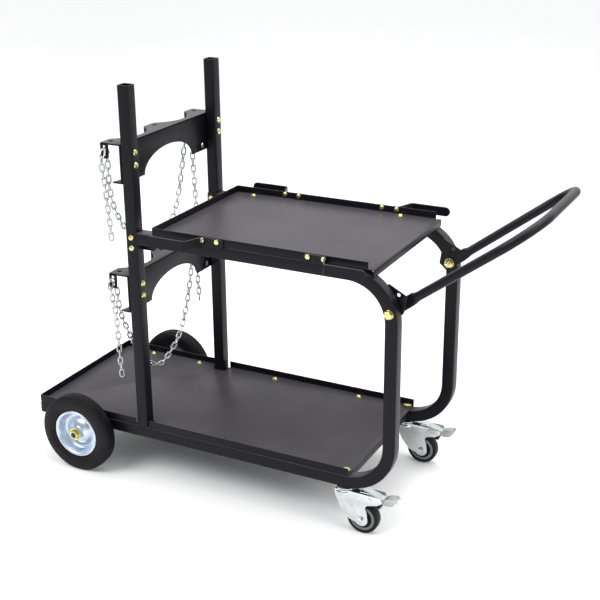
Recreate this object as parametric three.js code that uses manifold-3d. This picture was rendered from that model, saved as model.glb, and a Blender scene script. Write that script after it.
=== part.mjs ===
// A two-shelf welding cart with a bay for two gas bottles behind its rear posts.
// Units are millimetres, +Z is up, +X is the front (handle end), -Y is the near side.
// Lengths along the cart are measured from the rear edge of the lower tray, and the
// finished model is shifted so that its origin is the middle of its footprint.
import * as THREE from "three";
import { mergeVertices } from "three/addons/utils/BufferGeometryUtils.js";
import Module from "manifold-3d";

const wasm = await Module();
wasm.setup();

// ---------------------------------------------------------------- driving dimensions

const GAP = 0.3; // clearance between pieces that touch
const HALF_WIDTH = 203; // outer faces of the side frames
const TUBE = 30; // square frame tube
const TUBE_WALL = 2;
const TUBE_Y = HALF_WIDTH - TUBE / 2; // centre plane of each side frame
const INNER_FACE = HALF_WIDTH - TUBE;

const RAIL_BOTTOM = 113;
const RAIL_REAR = 1;
const FRAME_FRONT = 1004;
const FRAME_TOP = 655;
const BEND_RADIUS = 120; // outer radius of the two front bends
const BEND_STEPS = 12;

const POST_REAR = 307;
const POST_FRONT = POST_REAR + TUBE;
const POST_MID = POST_REAR + TUBE / 2;
const POST_TOP = 1003;

const SHEET = 2;
const TRAY_LIP = 19;
const TRAY_HEM = 15;
const LOWER_TRAY = { rear: 0, front: 891, lipFront: 891, base: RAIL_BOTTOM + TUBE + 2 * GAP };
const UPPER_TRAY = { rear: 381, front: 948, lipFront: 934, base: FRAME_TOP + GAP };
const TRAY_HOLES = { radius: 3.3, lower: [98, 250, 491, 741], upper: [437, 847] }; // M6

const PLATE = 4;
const WEB_REAR = POST_REAR - GAP - PLATE; // rear face of a bottle bracket's web
const WEB_HEIGHT = 95;
const BRACKET_TOPS = { upper: 865.3, lower: 542.6 };
const EAR_TIP = 250;
const EAR_INNER = 163; // inner edge of the two outer ears
const EAR_MIDDLE = 22; // half width of the middle ear
const EAR_HOLE = { x: EAR_TIP + 18, y: 183, radius: 5.2 };
const BAY_RADIUS = 82;
const ARCH = { half: 108, height: 52 };
const GUSSET_DEPTH = 24;
const WEB_HOLE = { y: 158, rise: 12.5, radius: 7.5 }; // rise above the web's bottom edge
const TAB_WIDTH = 21;
const TAB_HEIGHT = 38;
const SLOT_WIDTH = 9;
const SLOT_HEIGHT = 26;

const BOLT_RADIUS = 4; // M8
const BOLT_HEAD_RADIUS = 7.5;
const BOLT_HEAD_HEIGHT = 5.3;
const NUT_HEIGHT = 6.5;
const BRACKET_BOLT_DROPS = [18.8, 49]; // below each bracket's top face
const RAIL_BOLT_HEIGHTS = [642, 616];

const HOOK_BAR = 23;
const HOOK_THICK = 4;
const HOOK_JOG = 46;
const HOOK_SLANT = 18; // how far the jog leans along the tray
const HOOK_BOLTED = 75;
const HOOK_ARM = 100;
const HOOK_BASE = 650;
const HOOK_CORNER = 9;
const HOOK_BEND = 7;
const HOOK_JOG_X = { rear: 502, front: 851 };

const WHEEL_RADIUS = 102.5;
const WHEEL_X = 145;
const RIM_RADIUS = 63.5;
const TYRE_FACE = 253; // outer side wall
const TYRE_WIDTH = 38;
const AXLE_RADIUS = 8;
const AXLE_END = 260;
const SADDLE = { half: 30, bottom: 86 };

const CASTER_X = 879;
const CASTER_TRAIL = 46;
const CASTER_RADIUS = 39.6;
const CASTER_WIDTH = 25;
const CASTER_CORE_RADIUS = 31;
const CHEEK = 3;
const CHEEK_IN = CASTER_WIDTH / 2 + 2.3;
const FORK_TOP = RAIL_BOTTOM - 5;
const STEM_RADIUS = 6;
const STEM_NUT_RADIUS = 10.6;
const STEM_NUT_HEIGHT = 7.5;
const SWIVEL_RADIUS = 19;
const PEDAL_PIVOT = { x: 66, z: 96 }; // from the stem's axis, and above the floor

const HANDLE_RADIUS = 10.5;
const HANDLE_WALL = 1.8;
const HANDLE_RISE = THREE.MathUtils.degToRad(37);
const HANDLE_FOOT = { x: 1003, y: 163.7, z: 576.3 }; // middle of a leg's cut end
const HANDLE_REACH = 360; // from the foot to the crossbar, in the handle's plane
const HANDLE_TOP_Y = 190; // half width where the legs would meet the crossbar
const HANDLE_CORNER = 91;
const FLAT = { full: 14, end: 42, taller: 0.6, thinner: 0.58 }; // the pressed part of a leg
const PIVOT = { x: 984, z: 562 };
const PIVOT_RADIUS = 6; // M12
const PIVOT_HEAD_RADIUS = 10.4;
const PIVOT_HEAD_HEIGHT = 7.5;
const PIVOT_NUT_HEIGHT = 10;
const HANDLE_PLATE = [[958, 558], [982, 537], [1005, 556], [1015, 596], [968, 621]];
const HANDLE_LOCK = { x: 993, z: 598.5 }; // open second hole of each handle plate

const OVERALL_LENGTH = HANDLE_FOOT.x + HANDLE_REACH * Math.cos(HANDLE_RISE) + HANDLE_RADIUS;

// ---------------------------------------------------------------- materials

const finish = (color, roughness, metalness) =>
  new THREE.MeshStandardMaterial({ color, roughness, metalness });
const BLACK_COAT = finish(0x191a20, 0.38, 0.2);
const ZINC = finish(0xb9bcc0, 0.32, 0.9);
const YELLOW_ZINC = finish(0xb39a52, 0.35, 0.9);
const DARK_STEEL = finish(0x2b2c2f, 0.45, 0.8);
const RUBBER = finish(0x121214, 0.8, 0);
const GREY_PLASTIC = finish(0x6f7276, 0.55, 0);

// ---------------------------------------------------------------- geometry helpers

const vec = (x, y, z) => new THREE.Vector3(x, y, z);

/** Merges shared corners and turns the faces outward. */
function closed(source) {
  let geometry = source.clone();
  geometry.deleteAttribute("normal");
  geometry.deleteAttribute("uv");
  geometry = mergeVertices(geometry, 1e-3);
  const { array: p } = geometry.attributes.position;
  const faces = geometry.index.array;
  const kept = [];
  let volume = 0;
  for (let i = 0; i < faces.length; i += 3) {
    const [a, b, c] = [faces[i], faces[i + 1], faces[i + 2]];
    if (a === b || b === c || c === a) continue;
    kept.push(a, b, c);
    const va = vec(p[3 * a], p[3 * a + 1], p[3 * a + 2]);
    const vb = vec(p[3 * b], p[3 * b + 1], p[3 * b + 2]);
    const vc = vec(p[3 * c], p[3 * c + 1], p[3 * c + 2]);
    volume += va.dot(vb.cross(vc));
  }
  if (volume < 0) kept.reverse();
  geometry.setIndex(kept);
  return geometry;
}

function solid(geometry) {
  const clean = closed(geometry);
  return new wasm.Manifold(
    new wasm.Mesh({
      numProp: 3,
      vertProperties: new Float32Array(clean.attributes.position.array),
      triVerts: new Uint32Array(clean.index.array),
    }),
  );
}

function fromSolid(manifold) {
  const mesh = manifold.getMesh();
  const geometry = new THREE.BufferGeometry();
  geometry.setAttribute("position", new THREE.BufferAttribute(mesh.vertProperties, 3));
  geometry.setIndex(new THREE.BufferAttribute(mesh.triVerts, 1));
  return geometry;
}

const join = (...pieces) => fromSolid(pieces.map(solid).reduce((a, b) => a.add(b)));
const cut = (body, ...tools) =>
  fromSolid(tools.map(solid).reduce((a, b) => a.subtract(b), solid(body)));
const common = (body, other) => fromSolid(solid(body).intersect(solid(other)));

/** A block between two opposite corners. */
function block(x0, x1, y0, y1, z0, z1) {
  const box = new THREE.BoxGeometry(x1 - x0, y1 - y0, z1 - z0);
  return box.translate((x0 + x1) / 2, (y0 + y1) / 2, (z0 + z1) / 2);
}

/** A round rod along "x", "y" or "z", between two places on that axis. */
function rod(axis, radius, from, to, at, sides = 12) {
  const geometry = new THREE.CylinderGeometry(radius, radius, to - from, sides);
  if (axis === "x") geometry.rotateZ(Math.PI / 2);
  if (axis === "z") geometry.rotateX(Math.PI / 2);
  const middle = { x: at.x ?? 0, y: at.y ?? 0, z: at.z ?? 0 };
  middle[axis] = (from + to) / 2;
  return geometry.translate(middle.x, middle.y, middle.z);
}

const extrude = (shape, depth, curveSegments = 8) =>
  new THREE.ExtrudeGeometry(shape, { depth, curveSegments, bevelEnabled: false });

/** A plate drawn in X and Z, between two Y planes. */
const plateXZ = (shape, y0, y1, steps) =>
  extrude(shape, y1 - y0, steps).rotateX(Math.PI / 2).translate(0, y1, 0);

/** A plate drawn in Y and Z, between two X planes. */
function plateYZ(shape, x0, x1, steps) {
  const turn = new THREE.Matrix4().makeBasis(vec(0, 1, 0), vec(0, 0, 1), vec(1, 0, 0));
  return extrude(shape, x1 - x0, steps).applyMatrix4(turn).translate(x0, 0, 0);
}

/** A plate drawn in X and Y, between two heights. */
const plateXY = (shape, z0, z1, steps) => extrude(shape, z1 - z0, steps).translate(0, 0, z0);

/** A ring or disc turned about Y from [radius, y] points around its section. */
function turned(profile, at, sides = 48) {
  const points = [...profile, profile[0]].map(([r, y]) => new THREE.Vector2(r, y));
  return new THREE.LatheGeometry(points, sides).translate(at.x, at.y ?? 0, at.z);
}

const outline = (corners) => new THREE.Shape(corners.map(([u, v]) => new THREE.Vector2(u, v)));

const mirrored = (geometry) => closed(geometry.clone().scale(1, -1, 1));

// ---------------------------------------------------------------- scene graph

const cart = new THREE.Group();
cart.position.x = -OVERALL_LENGTH / 2;

function add(name, geometry, material) {
  const mesh = new THREE.Mesh(closed(geometry), material);
  mesh.name = name;
  cart.add(mesh);
}

/** Adds a piece made for the near side (-Y) and its mirror image on the far side. */
function addPair(name, geometry, material) {
  add(`${name}_near`, geometry, material);
  add(`${name}_far`, mirrored(geometry), material);
}

// ---------------------------------------------------------------- side frames and posts

/** The side frame's C in X and Z; the inset gives the bore of the tube. */
function frameBand(inset, overrun) {
  const bendX = FRAME_FRONT - BEND_RADIUS;
  const lowBend = RAIL_BOTTOM + BEND_RADIUS;
  const highBend = FRAME_TOP - BEND_RADIUS;
  const outer = BEND_RADIUS - inset;
  const inner = BEND_RADIUS - TUBE + inset;
  const shape = new THREE.Shape();
  shape.moveTo(RAIL_REAR - overrun, RAIL_BOTTOM + inset);
  shape.absarc(bendX, lowBend, outer, -Math.PI / 2, 0, false);
  shape.absarc(bendX, highBend, outer, 0, Math.PI / 2, false);
  shape.lineTo(POST_FRONT + GAP - overrun, FRAME_TOP - inset);
  shape.lineTo(POST_FRONT + GAP - overrun, FRAME_TOP - TUBE + inset);
  shape.absarc(bendX, highBend, inner, Math.PI / 2, 0, true);
  shape.absarc(bendX, lowBend, inner, 0, -Math.PI / 2, true);
  shape.lineTo(RAIL_REAR - overrun, RAIL_BOTTOM + TUBE - inset);
  return shape;
}

const TAB_PLATE = { rear: 308, front: 370, bottom: 605, top: 654 };
const BOLT_HOLE = BOLT_RADIUS + GAP;

function sideFrame() {
  const bore = plateXZ(
    frameBand(TUBE_WALL, 5), -HALF_WIDTH + TUBE_WALL, -INNER_FACE - TUBE_WALL, BEND_STEPS);
  const tube = cut(plateXZ(frameBand(0, 0), -HALF_WIDTH, -INNER_FACE, BEND_STEPS), bore);
  const joinTab = block(
    TAB_PLATE.rear, TAB_PLATE.front, -INNER_FACE + GAP, -INNER_FACE + GAP + PLATE,
    TAB_PLATE.bottom, TAB_PLATE.top);
  const weld = block(
    POST_FRONT + 6, TAB_PLATE.front - 2, -INNER_FACE - 1, -INNER_FACE + 1,
    FRAME_TOP - TUBE + 3, TAB_PLATE.top - 3);
  const across = (radius, at) => rod("y", radius, -HALF_WIDTH - 5, -INNER_FACE + 10, at);
  return cut(
    join(tube, joinTab, weld),
    rod("z", STEM_RADIUS + GAP, RAIL_BOTTOM - 5, RAIL_BOTTOM + TUBE + 5,
      { x: CASTER_X, y: -TUBE_Y }),
    across(PIVOT_RADIUS + GAP, PIVOT),
    ...RAIL_BOLT_HEIGHTS.map((z) => across(BOLT_HOLE, { x: POST_MID, z })),
  );
}

function rearPost() {
  const foot = RAIL_BOTTOM + TUBE + GAP;
  const tube = cut(
    block(POST_REAR, POST_FRONT, -HALF_WIDTH, -INNER_FACE, foot, POST_TOP),
    block(POST_REAR + TUBE_WALL, POST_FRONT - TUBE_WALL, -HALF_WIDTH + TUBE_WALL,
      -INNER_FACE - TUBE_WALL, foot - 5, POST_TOP + 5));
  const bracketHoles = Object.values(BRACKET_TOPS).flatMap((top) =>
    BRACKET_BOLT_DROPS.map((drop) =>
      rod("x", BOLT_HOLE, POST_REAR - 5, POST_FRONT + 5, { y: -TUBE_Y, z: top - drop })));
  const railHoles = RAIL_BOLT_HEIGHTS.map((z) =>
    rod("y", BOLT_HOLE, -HALF_WIDTH - 5, -INNER_FACE + 5, { x: POST_MID, z }));
  return cut(tube, ...bracketHoles, ...railHoles);
}

// ---------------------------------------------------------------- trays

/** A folded tray: floor, rear and side lips turned up, front hem turned down. */
function tray({ rear, front, lipFront, base }, hemHalfWidth) {
  const lipTop = base + TRAY_LIP;
  const sideLip = (y0) => block(rear, lipFront, y0, y0 + SHEET, base, lipTop);
  return join(
    block(rear, front, -HALF_WIDTH, HALF_WIDTH, base, base + SHEET),
    block(rear, rear + SHEET, -HALF_WIDTH, HALF_WIDTH, base, lipTop),
    sideLip(-HALF_WIDTH),
    sideLip(HALF_WIDTH - SHEET),
    block(front - SHEET, front, -hemHalfWidth, hemHalfWidth, base - TRAY_HEM, base + SHEET),
  );
}

/** Holes for the small bolts that hold a tray down on the side frames. */
const trayHoles = (places, { base }) =>
  places.flatMap((x) => [-TUBE_Y, TUBE_Y].map((y) =>
    rod("z", TRAY_HOLES.radius, base - 5, base + 8, { x, y }, 8)));

function upperTray() {
  return cut(tray(UPPER_TRAY, HALF_WIDTH), ...trayHoles(TRAY_HOLES.upper, UPPER_TRAY));
}

function lowerTray() {
  const body = tray(LOWER_TRAY, INNER_FACE - 1);
  const notch = (y0, y1) =>
    block(POST_REAR - 5, POST_FRONT + 5, y0, y1, LOWER_TRAY.base - 1, LOWER_TRAY.base + 40);
  const stemHole = (y) =>
    rod("z", STEM_RADIUS + GAP, LOWER_TRAY.base - 5, LOWER_TRAY.base + 8, { x: CASTER_X, y });
  return cut(
    body,
    notch(-HALF_WIDTH - 1, -INNER_FACE + 2),
    notch(INNER_FACE - 2, HALF_WIDTH + 1),
    stemHole(-TUBE_Y),
    stemHole(TUBE_Y),
    ...trayHoles(TRAY_HOLES.lower, LOWER_TRAY),
  );
}

// ---------------------------------------------------------------- bottle brackets

const TAB_EDGES = [-HALF_WIDTH, -EAR_MIDDLE, EAR_INNER]; // -Y edge of each ear
const SLOT_X = EAR_TIP + TAB_WIDTH / 2;

function bracketWeb(top) {
  const bottom = top - WEB_HEIGHT;
  const shape = new THREE.Shape();
  shape.moveTo(-HALF_WIDTH, bottom);
  shape.lineTo(-ARCH.half, bottom);
  shape.absellipse(0, bottom, ARCH.half, ARCH.height, Math.PI, 0, true);
  shape.lineTo(HALF_WIDTH, bottom);
  shape.lineTo(HALF_WIDTH, top);
  shape.lineTo(-HALF_WIDTH, top);
  return plateYZ(shape, WEB_REAR, WEB_REAR + PLATE, 20);
}

/** The top flange: three ears with a round seat for a bottle between each two. */
function bracketFlange(top) {
  const bayMiddle = (EAR_MIDDLE + EAR_INNER) / 2;
  const sweep = Math.asin((EAR_INNER - EAR_MIDDLE) / 2 / BAY_RADIUS);
  const bayX = EAR_TIP - BAY_RADIUS * Math.cos(sweep);
  const shape = new THREE.Shape();
  shape.moveTo(WEB_REAR + PLATE, -HALF_WIDTH);
  shape.lineTo(WEB_REAR + PLATE, HALF_WIDTH);
  shape.lineTo(EAR_TIP, HALF_WIDTH);
  shape.absarc(bayX, bayMiddle, BAY_RADIUS, sweep, -sweep, true);
  shape.absarc(bayX, -bayMiddle, BAY_RADIUS, sweep, -sweep, true);
  shape.lineTo(EAR_TIP, -HALF_WIDTH);
  return plateXY(shape, top - PLATE, top, 14);
}

/** A tab turned down from one ear, before its chain slot is cut. */
function chainTab(edge, top) {
  return block(EAR_TIP, EAR_TIP + TAB_WIDTH, edge, edge + PLATE, top - TAB_HEIGHT, top);
}

function chainSlot(edge, top) {
  const middle = top - TAB_HEIGHT / 2;
  const half = (SLOT_HEIGHT - SLOT_WIDTH) / 2;
  const shape = new THREE.Shape();
  shape.absarc(SLOT_X, middle + half, SLOT_WIDTH / 2, 0, Math.PI, false);
  shape.absarc(SLOT_X, middle - half, SLOT_WIDTH / 2, Math.PI, 2 * Math.PI, false);
  return plateXZ(shape, edge - 1, edge + PLATE + 1, 6);
}

function bottleBracket(top) {
  const bottom = top - WEB_HEIGHT;
  const gusset = (side) =>
    plateXY(outline([
      [WEB_REAR + 1, side * ARCH.half],
      [WEB_REAR + 1, side * HALF_WIDTH],
      [WEB_REAR + 1 - GUSSET_DEPTH, side * HALF_WIDTH],
    ]), bottom, bottom + PLATE);
  const holeX = (radius, y, z) => rod("x", radius, WEB_REAR - 5, WEB_REAR + PLATE + 5, { y, z });
  const holes = [-1, 1].flatMap((side) => [
    holeX(WEB_HOLE.radius, side * WEB_HOLE.y, bottom + WEB_HOLE.rise),
    ...BRACKET_BOLT_DROPS.map((drop) => holeX(BOLT_HOLE, side * TUBE_Y, top - drop)),
  ]);
  const earHoles = [-EAR_HOLE.y, 0, EAR_HOLE.y].map((y) =>
    rod("z", EAR_HOLE.radius, top - PLATE - 3, top + 3, { x: EAR_HOLE.x, y }));
  return cut(
    join(
      bracketWeb(top),
      bracketFlange(top),
      gusset(-1),
      gusset(1),
      ...TAB_EDGES.map((edge) => chainTab(edge, top)),
    ),
    ...TAB_EDGES.map((edge) => chainSlot(edge, top)),
    ...holes,
    ...earHoles,
  );
}

// ---------------------------------------------------------------- fasteners

/** A hex bolt with its nut, along "x" or "y": the head sits at the low end. */
function boltAndNut(axis, headAt, nutAt, tail, at) {
  return join(
    rod(axis, BOLT_HEAD_RADIUS, headAt - BOLT_HEAD_HEIGHT, headAt, at, 6),
    rod(axis, BOLT_RADIUS, headAt - 1, nutAt + NUT_HEIGHT + tail, at),
    rod(axis, BOLT_HEAD_RADIUS, nutAt, nutAt + NUT_HEIGHT, at, 6),
  );
}

// ---------------------------------------------------------------- cable hooks

/** Outline of a bar of even thickness bent along the given points, with round bends. */
function bentBar(points, thickness, bendRadius) {
  const path = new THREE.CurvePath();
  const corners = points.map(([x, y]) => new THREE.Vector2(x, y));
  let start = corners[0];
  for (let i = 1; i < corners.length - 1; i += 1) {
    const before = corners[i].clone().sub(corners[i - 1]).setLength(bendRadius);
    const after = corners[i + 1].clone().sub(corners[i]).setLength(bendRadius);
    const enter = corners[i].clone().sub(before);
    const leave = corners[i].clone().add(after);
    path.add(new THREE.LineCurve(start, enter));
    path.add(new THREE.QuadraticBezierCurve(enter, corners[i], leave));
    start = leave;
  }
  path.add(new THREE.LineCurve(start, corners.at(-1)));
  const middle = path.curves.flatMap((curve, i) => curve.getPoints(i % 2 ? 5 : 1).slice(i ? 1 : 0));
  const side = (sign) =>
    middle.map((point, i) => {
      const next = middle[Math.min(i + 1, middle.length - 1)];
      const last = middle[Math.max(i - 1, 0)];
      const along = next.clone().sub(last).normalize();
      return [point.x - sign * along.y * thickness / 2, point.y + sign * along.x * thickness / 2];
    });
  return outline([...side(1), ...side(-1).reverse()]);
}

/** A near-side hook; forward is 1 where the free arm points to the front. */
function cableHook(jogX, forward) {
  const inY = -HALF_WIDTH - GAP - HOOK_THICK / 2;
  const outY = inY - HOOK_JOG;
  const tip = jogX + forward * HOOK_ARM;
  const tail = jogX - forward * HOOK_BOLTED;
  const bar = plateXY(
    bentBar(
      [[tail, inY], [jogX - forward * HOOK_SLANT, inY], [jogX, outY], [tip, outY]],
      HOOK_THICK, HOOK_BEND),
    HOOK_BASE, HOOK_BASE + HOOK_BAR);
  const corner = HOOK_CORNER;
  const high = HOOK_BASE + HOOK_BAR;
  const [low, far] = [Math.min(tail, tip), Math.max(tail, tip)];
  const shape = new THREE.Shape();
  const round = (x, z, from, to) => shape.absarc(x, z, corner, from * Math.PI, to * Math.PI, false);
  round(low + corner, high - corner, 0.5, 1);
  round(low + corner, HOOK_BASE + corner, 1, 1.5);
  round(far - corner, HOOK_BASE + corner, 1.5, 2);
  round(far - corner, high - corner, 0, 0.5);
  return common(bar, plateXZ(shape, outY - 5, inY + 5, 5));
}

// ---------------------------------------------------------------- rear axle and wheels

const AXLE = { x: WHEEL_X, z: WHEEL_RADIUS };
const HUB_INNER = TYRE_FACE - TYRE_WIDTH - 4;
const HUB_OUTER = 250;

function axleBracket() {
  const [rear, front] = [WHEEL_X - SADDLE.half, WHEEL_X + SADDLE.half];
  const [outer, inner] = [-HALF_WIDTH + 1, -INNER_FACE - 1];
  const top = RAIL_BOTTOM - GAP;
  const saddle = join(
    block(rear, front, outer, inner, WHEEL_RADIUS + AXLE_RADIUS + 0.2, top),
    block(rear, front, outer, outer + PLATE, SADDLE.bottom, top),
    block(rear, front, inner - PLATE, inner, SADDLE.bottom, top),
  );
  return cut(saddle, rod("y", AXLE_RADIUS + GAP, -HALF_WIDTH - 5, -INNER_FACE + 5, AXLE, 24));
}

/** Section of the tyre, from the bead round over the tread. */
function tyreProfile() {
  const inner = TYRE_FACE - TYRE_WIDTH;
  const bead = RIM_RADIUS + GAP;
  const half = TYRE_WIDTH / 2;
  const middle = -TYRE_FACE + half;
  const tread = [0.5, 0.2, -0.2, -0.5].map((share) => {
    const crown = 1.5 * (1 - (2 * share) ** 2);
    return [WHEEL_RADIUS - 1.5 + crown, middle + share * (TYRE_WIDTH - 8)];
  });
  return [
    [bead, -inner - 5],
    [bead + 12, -inner - 1.5],
    [bead + 26, -inner],
    [WHEEL_RADIUS - 6, -inner - 1],
    ...tread,
    [WHEEL_RADIUS - 6, -TYRE_FACE + 1],
    [bead + 26, -TYRE_FACE],
    [bead + 12, -TYRE_FACE + 1.5],
    [bead, -TYRE_FACE + 5],
  ];
}

/** Section of the pressed rim with its hub tube. */
function rimProfile() {
  const bore = AXLE_RADIUS + GAP;
  const hub = 15;
  const face = -240;
  return [
    [bore, -HUB_OUTER],
    [hub, -HUB_OUTER],
    [hub, face - 2],
    [40, face - 2],
    [52, face + 4],
    [RIM_RADIUS - 4, face + 2],
    [RIM_RADIUS - 3, -TYRE_FACE + 5],
    [RIM_RADIUS, -TYRE_FACE + 5],
    [RIM_RADIUS, -TYRE_FACE + TYRE_WIDTH - 5],
    [RIM_RADIUS - 3, -TYRE_FACE + TYRE_WIDTH - 5],
    [RIM_RADIUS - 4, face + 6],
    [52, face + 8],
    [40, face + 2],
    [hub, face + 2],
    [hub, -HUB_INNER],
    [bore, -HUB_INNER],
  ];
}

function axleNut() {
  const hex = rod("y", 13.5, -AXLE_END + 2, -HUB_OUTER - GAP, AXLE, 6);
  return cut(hex, rod("y", AXLE_RADIUS + GAP, -AXLE_END - 5, -HUB_OUTER + 5, AXLE, 24));
}

// ---------------------------------------------------------------- front casters

const CASTER_AXLE = { x: CASTER_X + CASTER_TRAIL, z: CASTER_RADIUS };

const STEM_AXIS = { x: CASTER_X, y: -TUBE_Y };
const STEM_NUT_SEAT = LOWER_TRAY.base + SHEET + GAP;

/** The threaded stem with the round swivel plate under the rail. */
function casterStem() {
  return join(
    rod("z", STEM_RADIUS, RAIL_BOTTOM - 2, STEM_NUT_SEAT + STEM_NUT_HEIGHT - 1, STEM_AXIS),
    rod("z", SWIVEL_RADIUS, FORK_TOP + GAP, RAIL_BOTTOM - GAP, STEM_AXIS),
  );
}

function casterNut() {
  return cut(
    rod("z", STEM_NUT_RADIUS, STEM_NUT_SEAT, STEM_NUT_SEAT + STEM_NUT_HEIGHT, STEM_AXIS, 6),
    rod("z", STEM_RADIUS + GAP, STEM_NUT_SEAT - 5, STEM_NUT_SEAT + 20, STEM_AXIS));
}

/** Side view of the fork with its brake channel, from the crown round the axle boss. */
function forkSide() {
  const shape = new THREE.Shape();
  shape.moveTo(CASTER_X - 22, FORK_TOP);
  shape.lineTo(CASTER_X - 22, FORK_TOP - 9);
  shape.lineTo(CASTER_X - 8, 62);
  shape.lineTo(CASTER_X + 13, 36);
  shape.absarc(CASTER_AXLE.x, CASTER_AXLE.z, 17, Math.PI * 1.2, Math.PI * 1.95, false);
  shape.lineTo(CASTER_X + 56, 74);
  shape.lineTo(CASTER_X + 86, 86);
  shape.lineTo(CASTER_X + 98, 103);
  shape.lineTo(CASTER_X + 94, FORK_TOP);
  return shape;
}

function casterFork() {
  const outerFace = CHEEK_IN + CHEEK;
  const shell = plateXZ(forkSide(), -TUBE_Y - outerFace, -TUBE_Y + outerFace, 8);
  const hollow = block(
    CASTER_X - 40, CASTER_X + 120, -TUBE_Y - CHEEK_IN, -TUBE_Y + CHEEK_IN, 0, FORK_TOP - CHEEK);
  const mouth = block(
    CASTER_X + 60, CASTER_X + 120, -TUBE_Y - CHEEK_IN, -TUBE_Y + CHEEK_IN, 50, FORK_TOP + 5);
  return cut(
    shell, hollow, mouth,
    rod("y", BOLT_HOLE, -TUBE_Y - 30, -TUBE_Y + 30, CASTER_AXLE),
    rod("y", 3.3, -TUBE_Y - 30, -TUBE_Y + 30, { x: CASTER_X + PEDAL_PIVOT.x, z: PEDAL_PIVOT.z }),
  );
}

function casterAxle() {
  const out = CHEEK_IN + CHEEK + GAP;
  return boltAndNut("y", -TUBE_Y - out, -TUBE_Y + out, 1, CASTER_AXLE);
}

function casterCore() {
  const half = CASTER_WIDTH / 2;
  const bore = BOLT_RADIUS + GAP;
  const profile = [
    [bore, half + 2], [11, half + 2], [11, 5], [26, 5], [28, half - 1], [CASTER_CORE_RADIUS, half - 1],
  ];
  const back = profile.map(([r, y]) => [r, -y]).reverse();
  return turned([...profile, ...back], { ...CASTER_AXLE, y: -TUBE_Y }, 24);
}

function casterTread() {
  const half = CASTER_WIDTH / 2;
  const inner = CASTER_CORE_RADIUS + GAP;
  const side = [[inner, half - 1], [CASTER_RADIUS - 3, half], [CASTER_RADIUS, half - 4]];
  const back = side.map(([r, y]) => [r, -y]).reverse();
  return turned([...side, ...back], { ...CASTER_AXLE, y: -TUBE_Y }, 36);
}

/** The brake lever: a bent plate with a toe tab in front and a shoe over the tread. */
function brakePedal() {
  const half = CHEEK_IN - 0.8;
  const [px, pz] = [CASTER_X + PEDAL_PIVOT.x, PEDAL_PIVOT.z];
  const lever = outline([
    [px - 4, pz + 5], [px - 5, pz - 4], [px + 8, pz - 15], [px + 16, pz - 22],
    [px + 23, pz - 15], [px + 27, pz - 6], [px + 64, pz + 11], [px + 65, pz + 17], [px + 60, pz + 20],
    [px + 26, pz + 5], [px + 6, pz + 6],
  ]);
  const pin = rod("y", 3, -TUBE_Y - CHEEK_IN - CHEEK - 1, -TUBE_Y + CHEEK_IN + CHEEK + 1,
    { x: px, z: pz });
  return join(plateXZ(lever, -TUBE_Y - half, -TUBE_Y + half), pin);
}

// ---------------------------------------------------------------- handle

/** A closed skin over rings of points, one ring for each place along a path. */
function skin(rings) {
  const count = rings[0].length;
  const points = rings.flat();
  const faces = [];
  for (let i = 0; i + 1 < rings.length; i += 1) {
    for (let j = 0; j < count; j += 1) {
      const [a, b] = [i * count + j, i * count + ((j + 1) % count)];
      faces.push(a, b, a + count, b, b + count, a + count);
    }
  }
  for (let j = 1; j + 1 < count; j += 1) {
    const last = points.length - count;
    faces.push(0, j + 1, j, last, last + j, last + j + 1);
  }
  return closed(new THREE.BufferGeometry().setFromPoints(points).setIndex(faces));
}

/** Points of the U handle in its own plane: [reach from the foot, across the cart]. */
function handlePath(start) {
  const splay = Math.atan2(HANDLE_TOP_Y - HANDLE_FOOT.y, HANDLE_REACH - FLAT.full);
  const across = (reach) => HANDLE_FOOT.y + Math.max(reach - FLAT.full, 0) * Math.tan(splay);
  const middle = {
    reach: HANDLE_REACH - HANDLE_CORNER,
    across: HANDLE_TOP_Y - HANDLE_CORNER * (1 + Math.sin(splay)) / Math.cos(splay),
  };
  const corner = Array.from({ length: 8 }, (_, i) => {
    const turn = (Math.PI / 2 + splay) * (1 - i / 7);
    return [
      middle.reach + HANDLE_CORNER * Math.cos(turn),
      middle.across + HANDLE_CORNER * Math.sin(turn),
    ];
  });
  const leg = [start, FLAT.full, (FLAT.full + FLAT.end) / 2, FLAT.end];
  const half = [...leg.map((reach) => [reach, across(reach)]), ...corner];
  return [...half.map(([reach, y]) => [reach, -y]), ...half.reverse()];
}

/** The bent tube, pressed flat at each foot; the inset gives the skin of its bore. */
function handleSkin(inset, start) {
  const up = vec(-Math.sin(HANDLE_RISE), 0, Math.cos(HANDLE_RISE));
  const out = vec(Math.cos(HANDLE_RISE), 0, Math.sin(HANDLE_RISE));
  const sides = 12;
  const path = handlePath(start);
  const rings = path.map(([reach, across], i) => {
    const [nextReach, nextAcross] = path[Math.min(i + 1, path.length - 1)];
    const [lastReach, lastAcross] = path[Math.max(i - 1, 0)];
    const along = out.clone().multiplyScalar(nextReach - lastReach)
      .add(vec(0, nextAcross - lastAcross, 0)).normalize();
    const flat = THREE.MathUtils.clamp((FLAT.end - reach) / (FLAT.end - FLAT.full), 0, 1);
    const tall = HANDLE_RADIUS * (1 + FLAT.taller * flat) - inset;
    const thin = HANDLE_RADIUS * (1 - FLAT.thinner * flat) - inset;
    const middle = vec(HANDLE_FOOT.x, across, HANDLE_FOOT.z).addScaledVector(out, reach);
    const lift = up.clone().lerp(vec(0, 0, 1), flat).normalize(); // the cut end stands upright
    const normal = up.clone().cross(along).lerp(vec(0, -Math.sign(across), 0), flat).normalize();
    return Array.from({ length: sides }, (_, k) => {
      const angle = (k / sides) * 2 * Math.PI;
      return middle.clone()
        .addScaledVector(lift, tall * Math.cos(angle))
        .addScaledVector(normal, thin * Math.sin(angle));
    });
  });
  return skin(rings);
}

const handleTube = () => cut(handleSkin(0, 0), handleSkin(HANDLE_WALL, -5));

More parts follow.
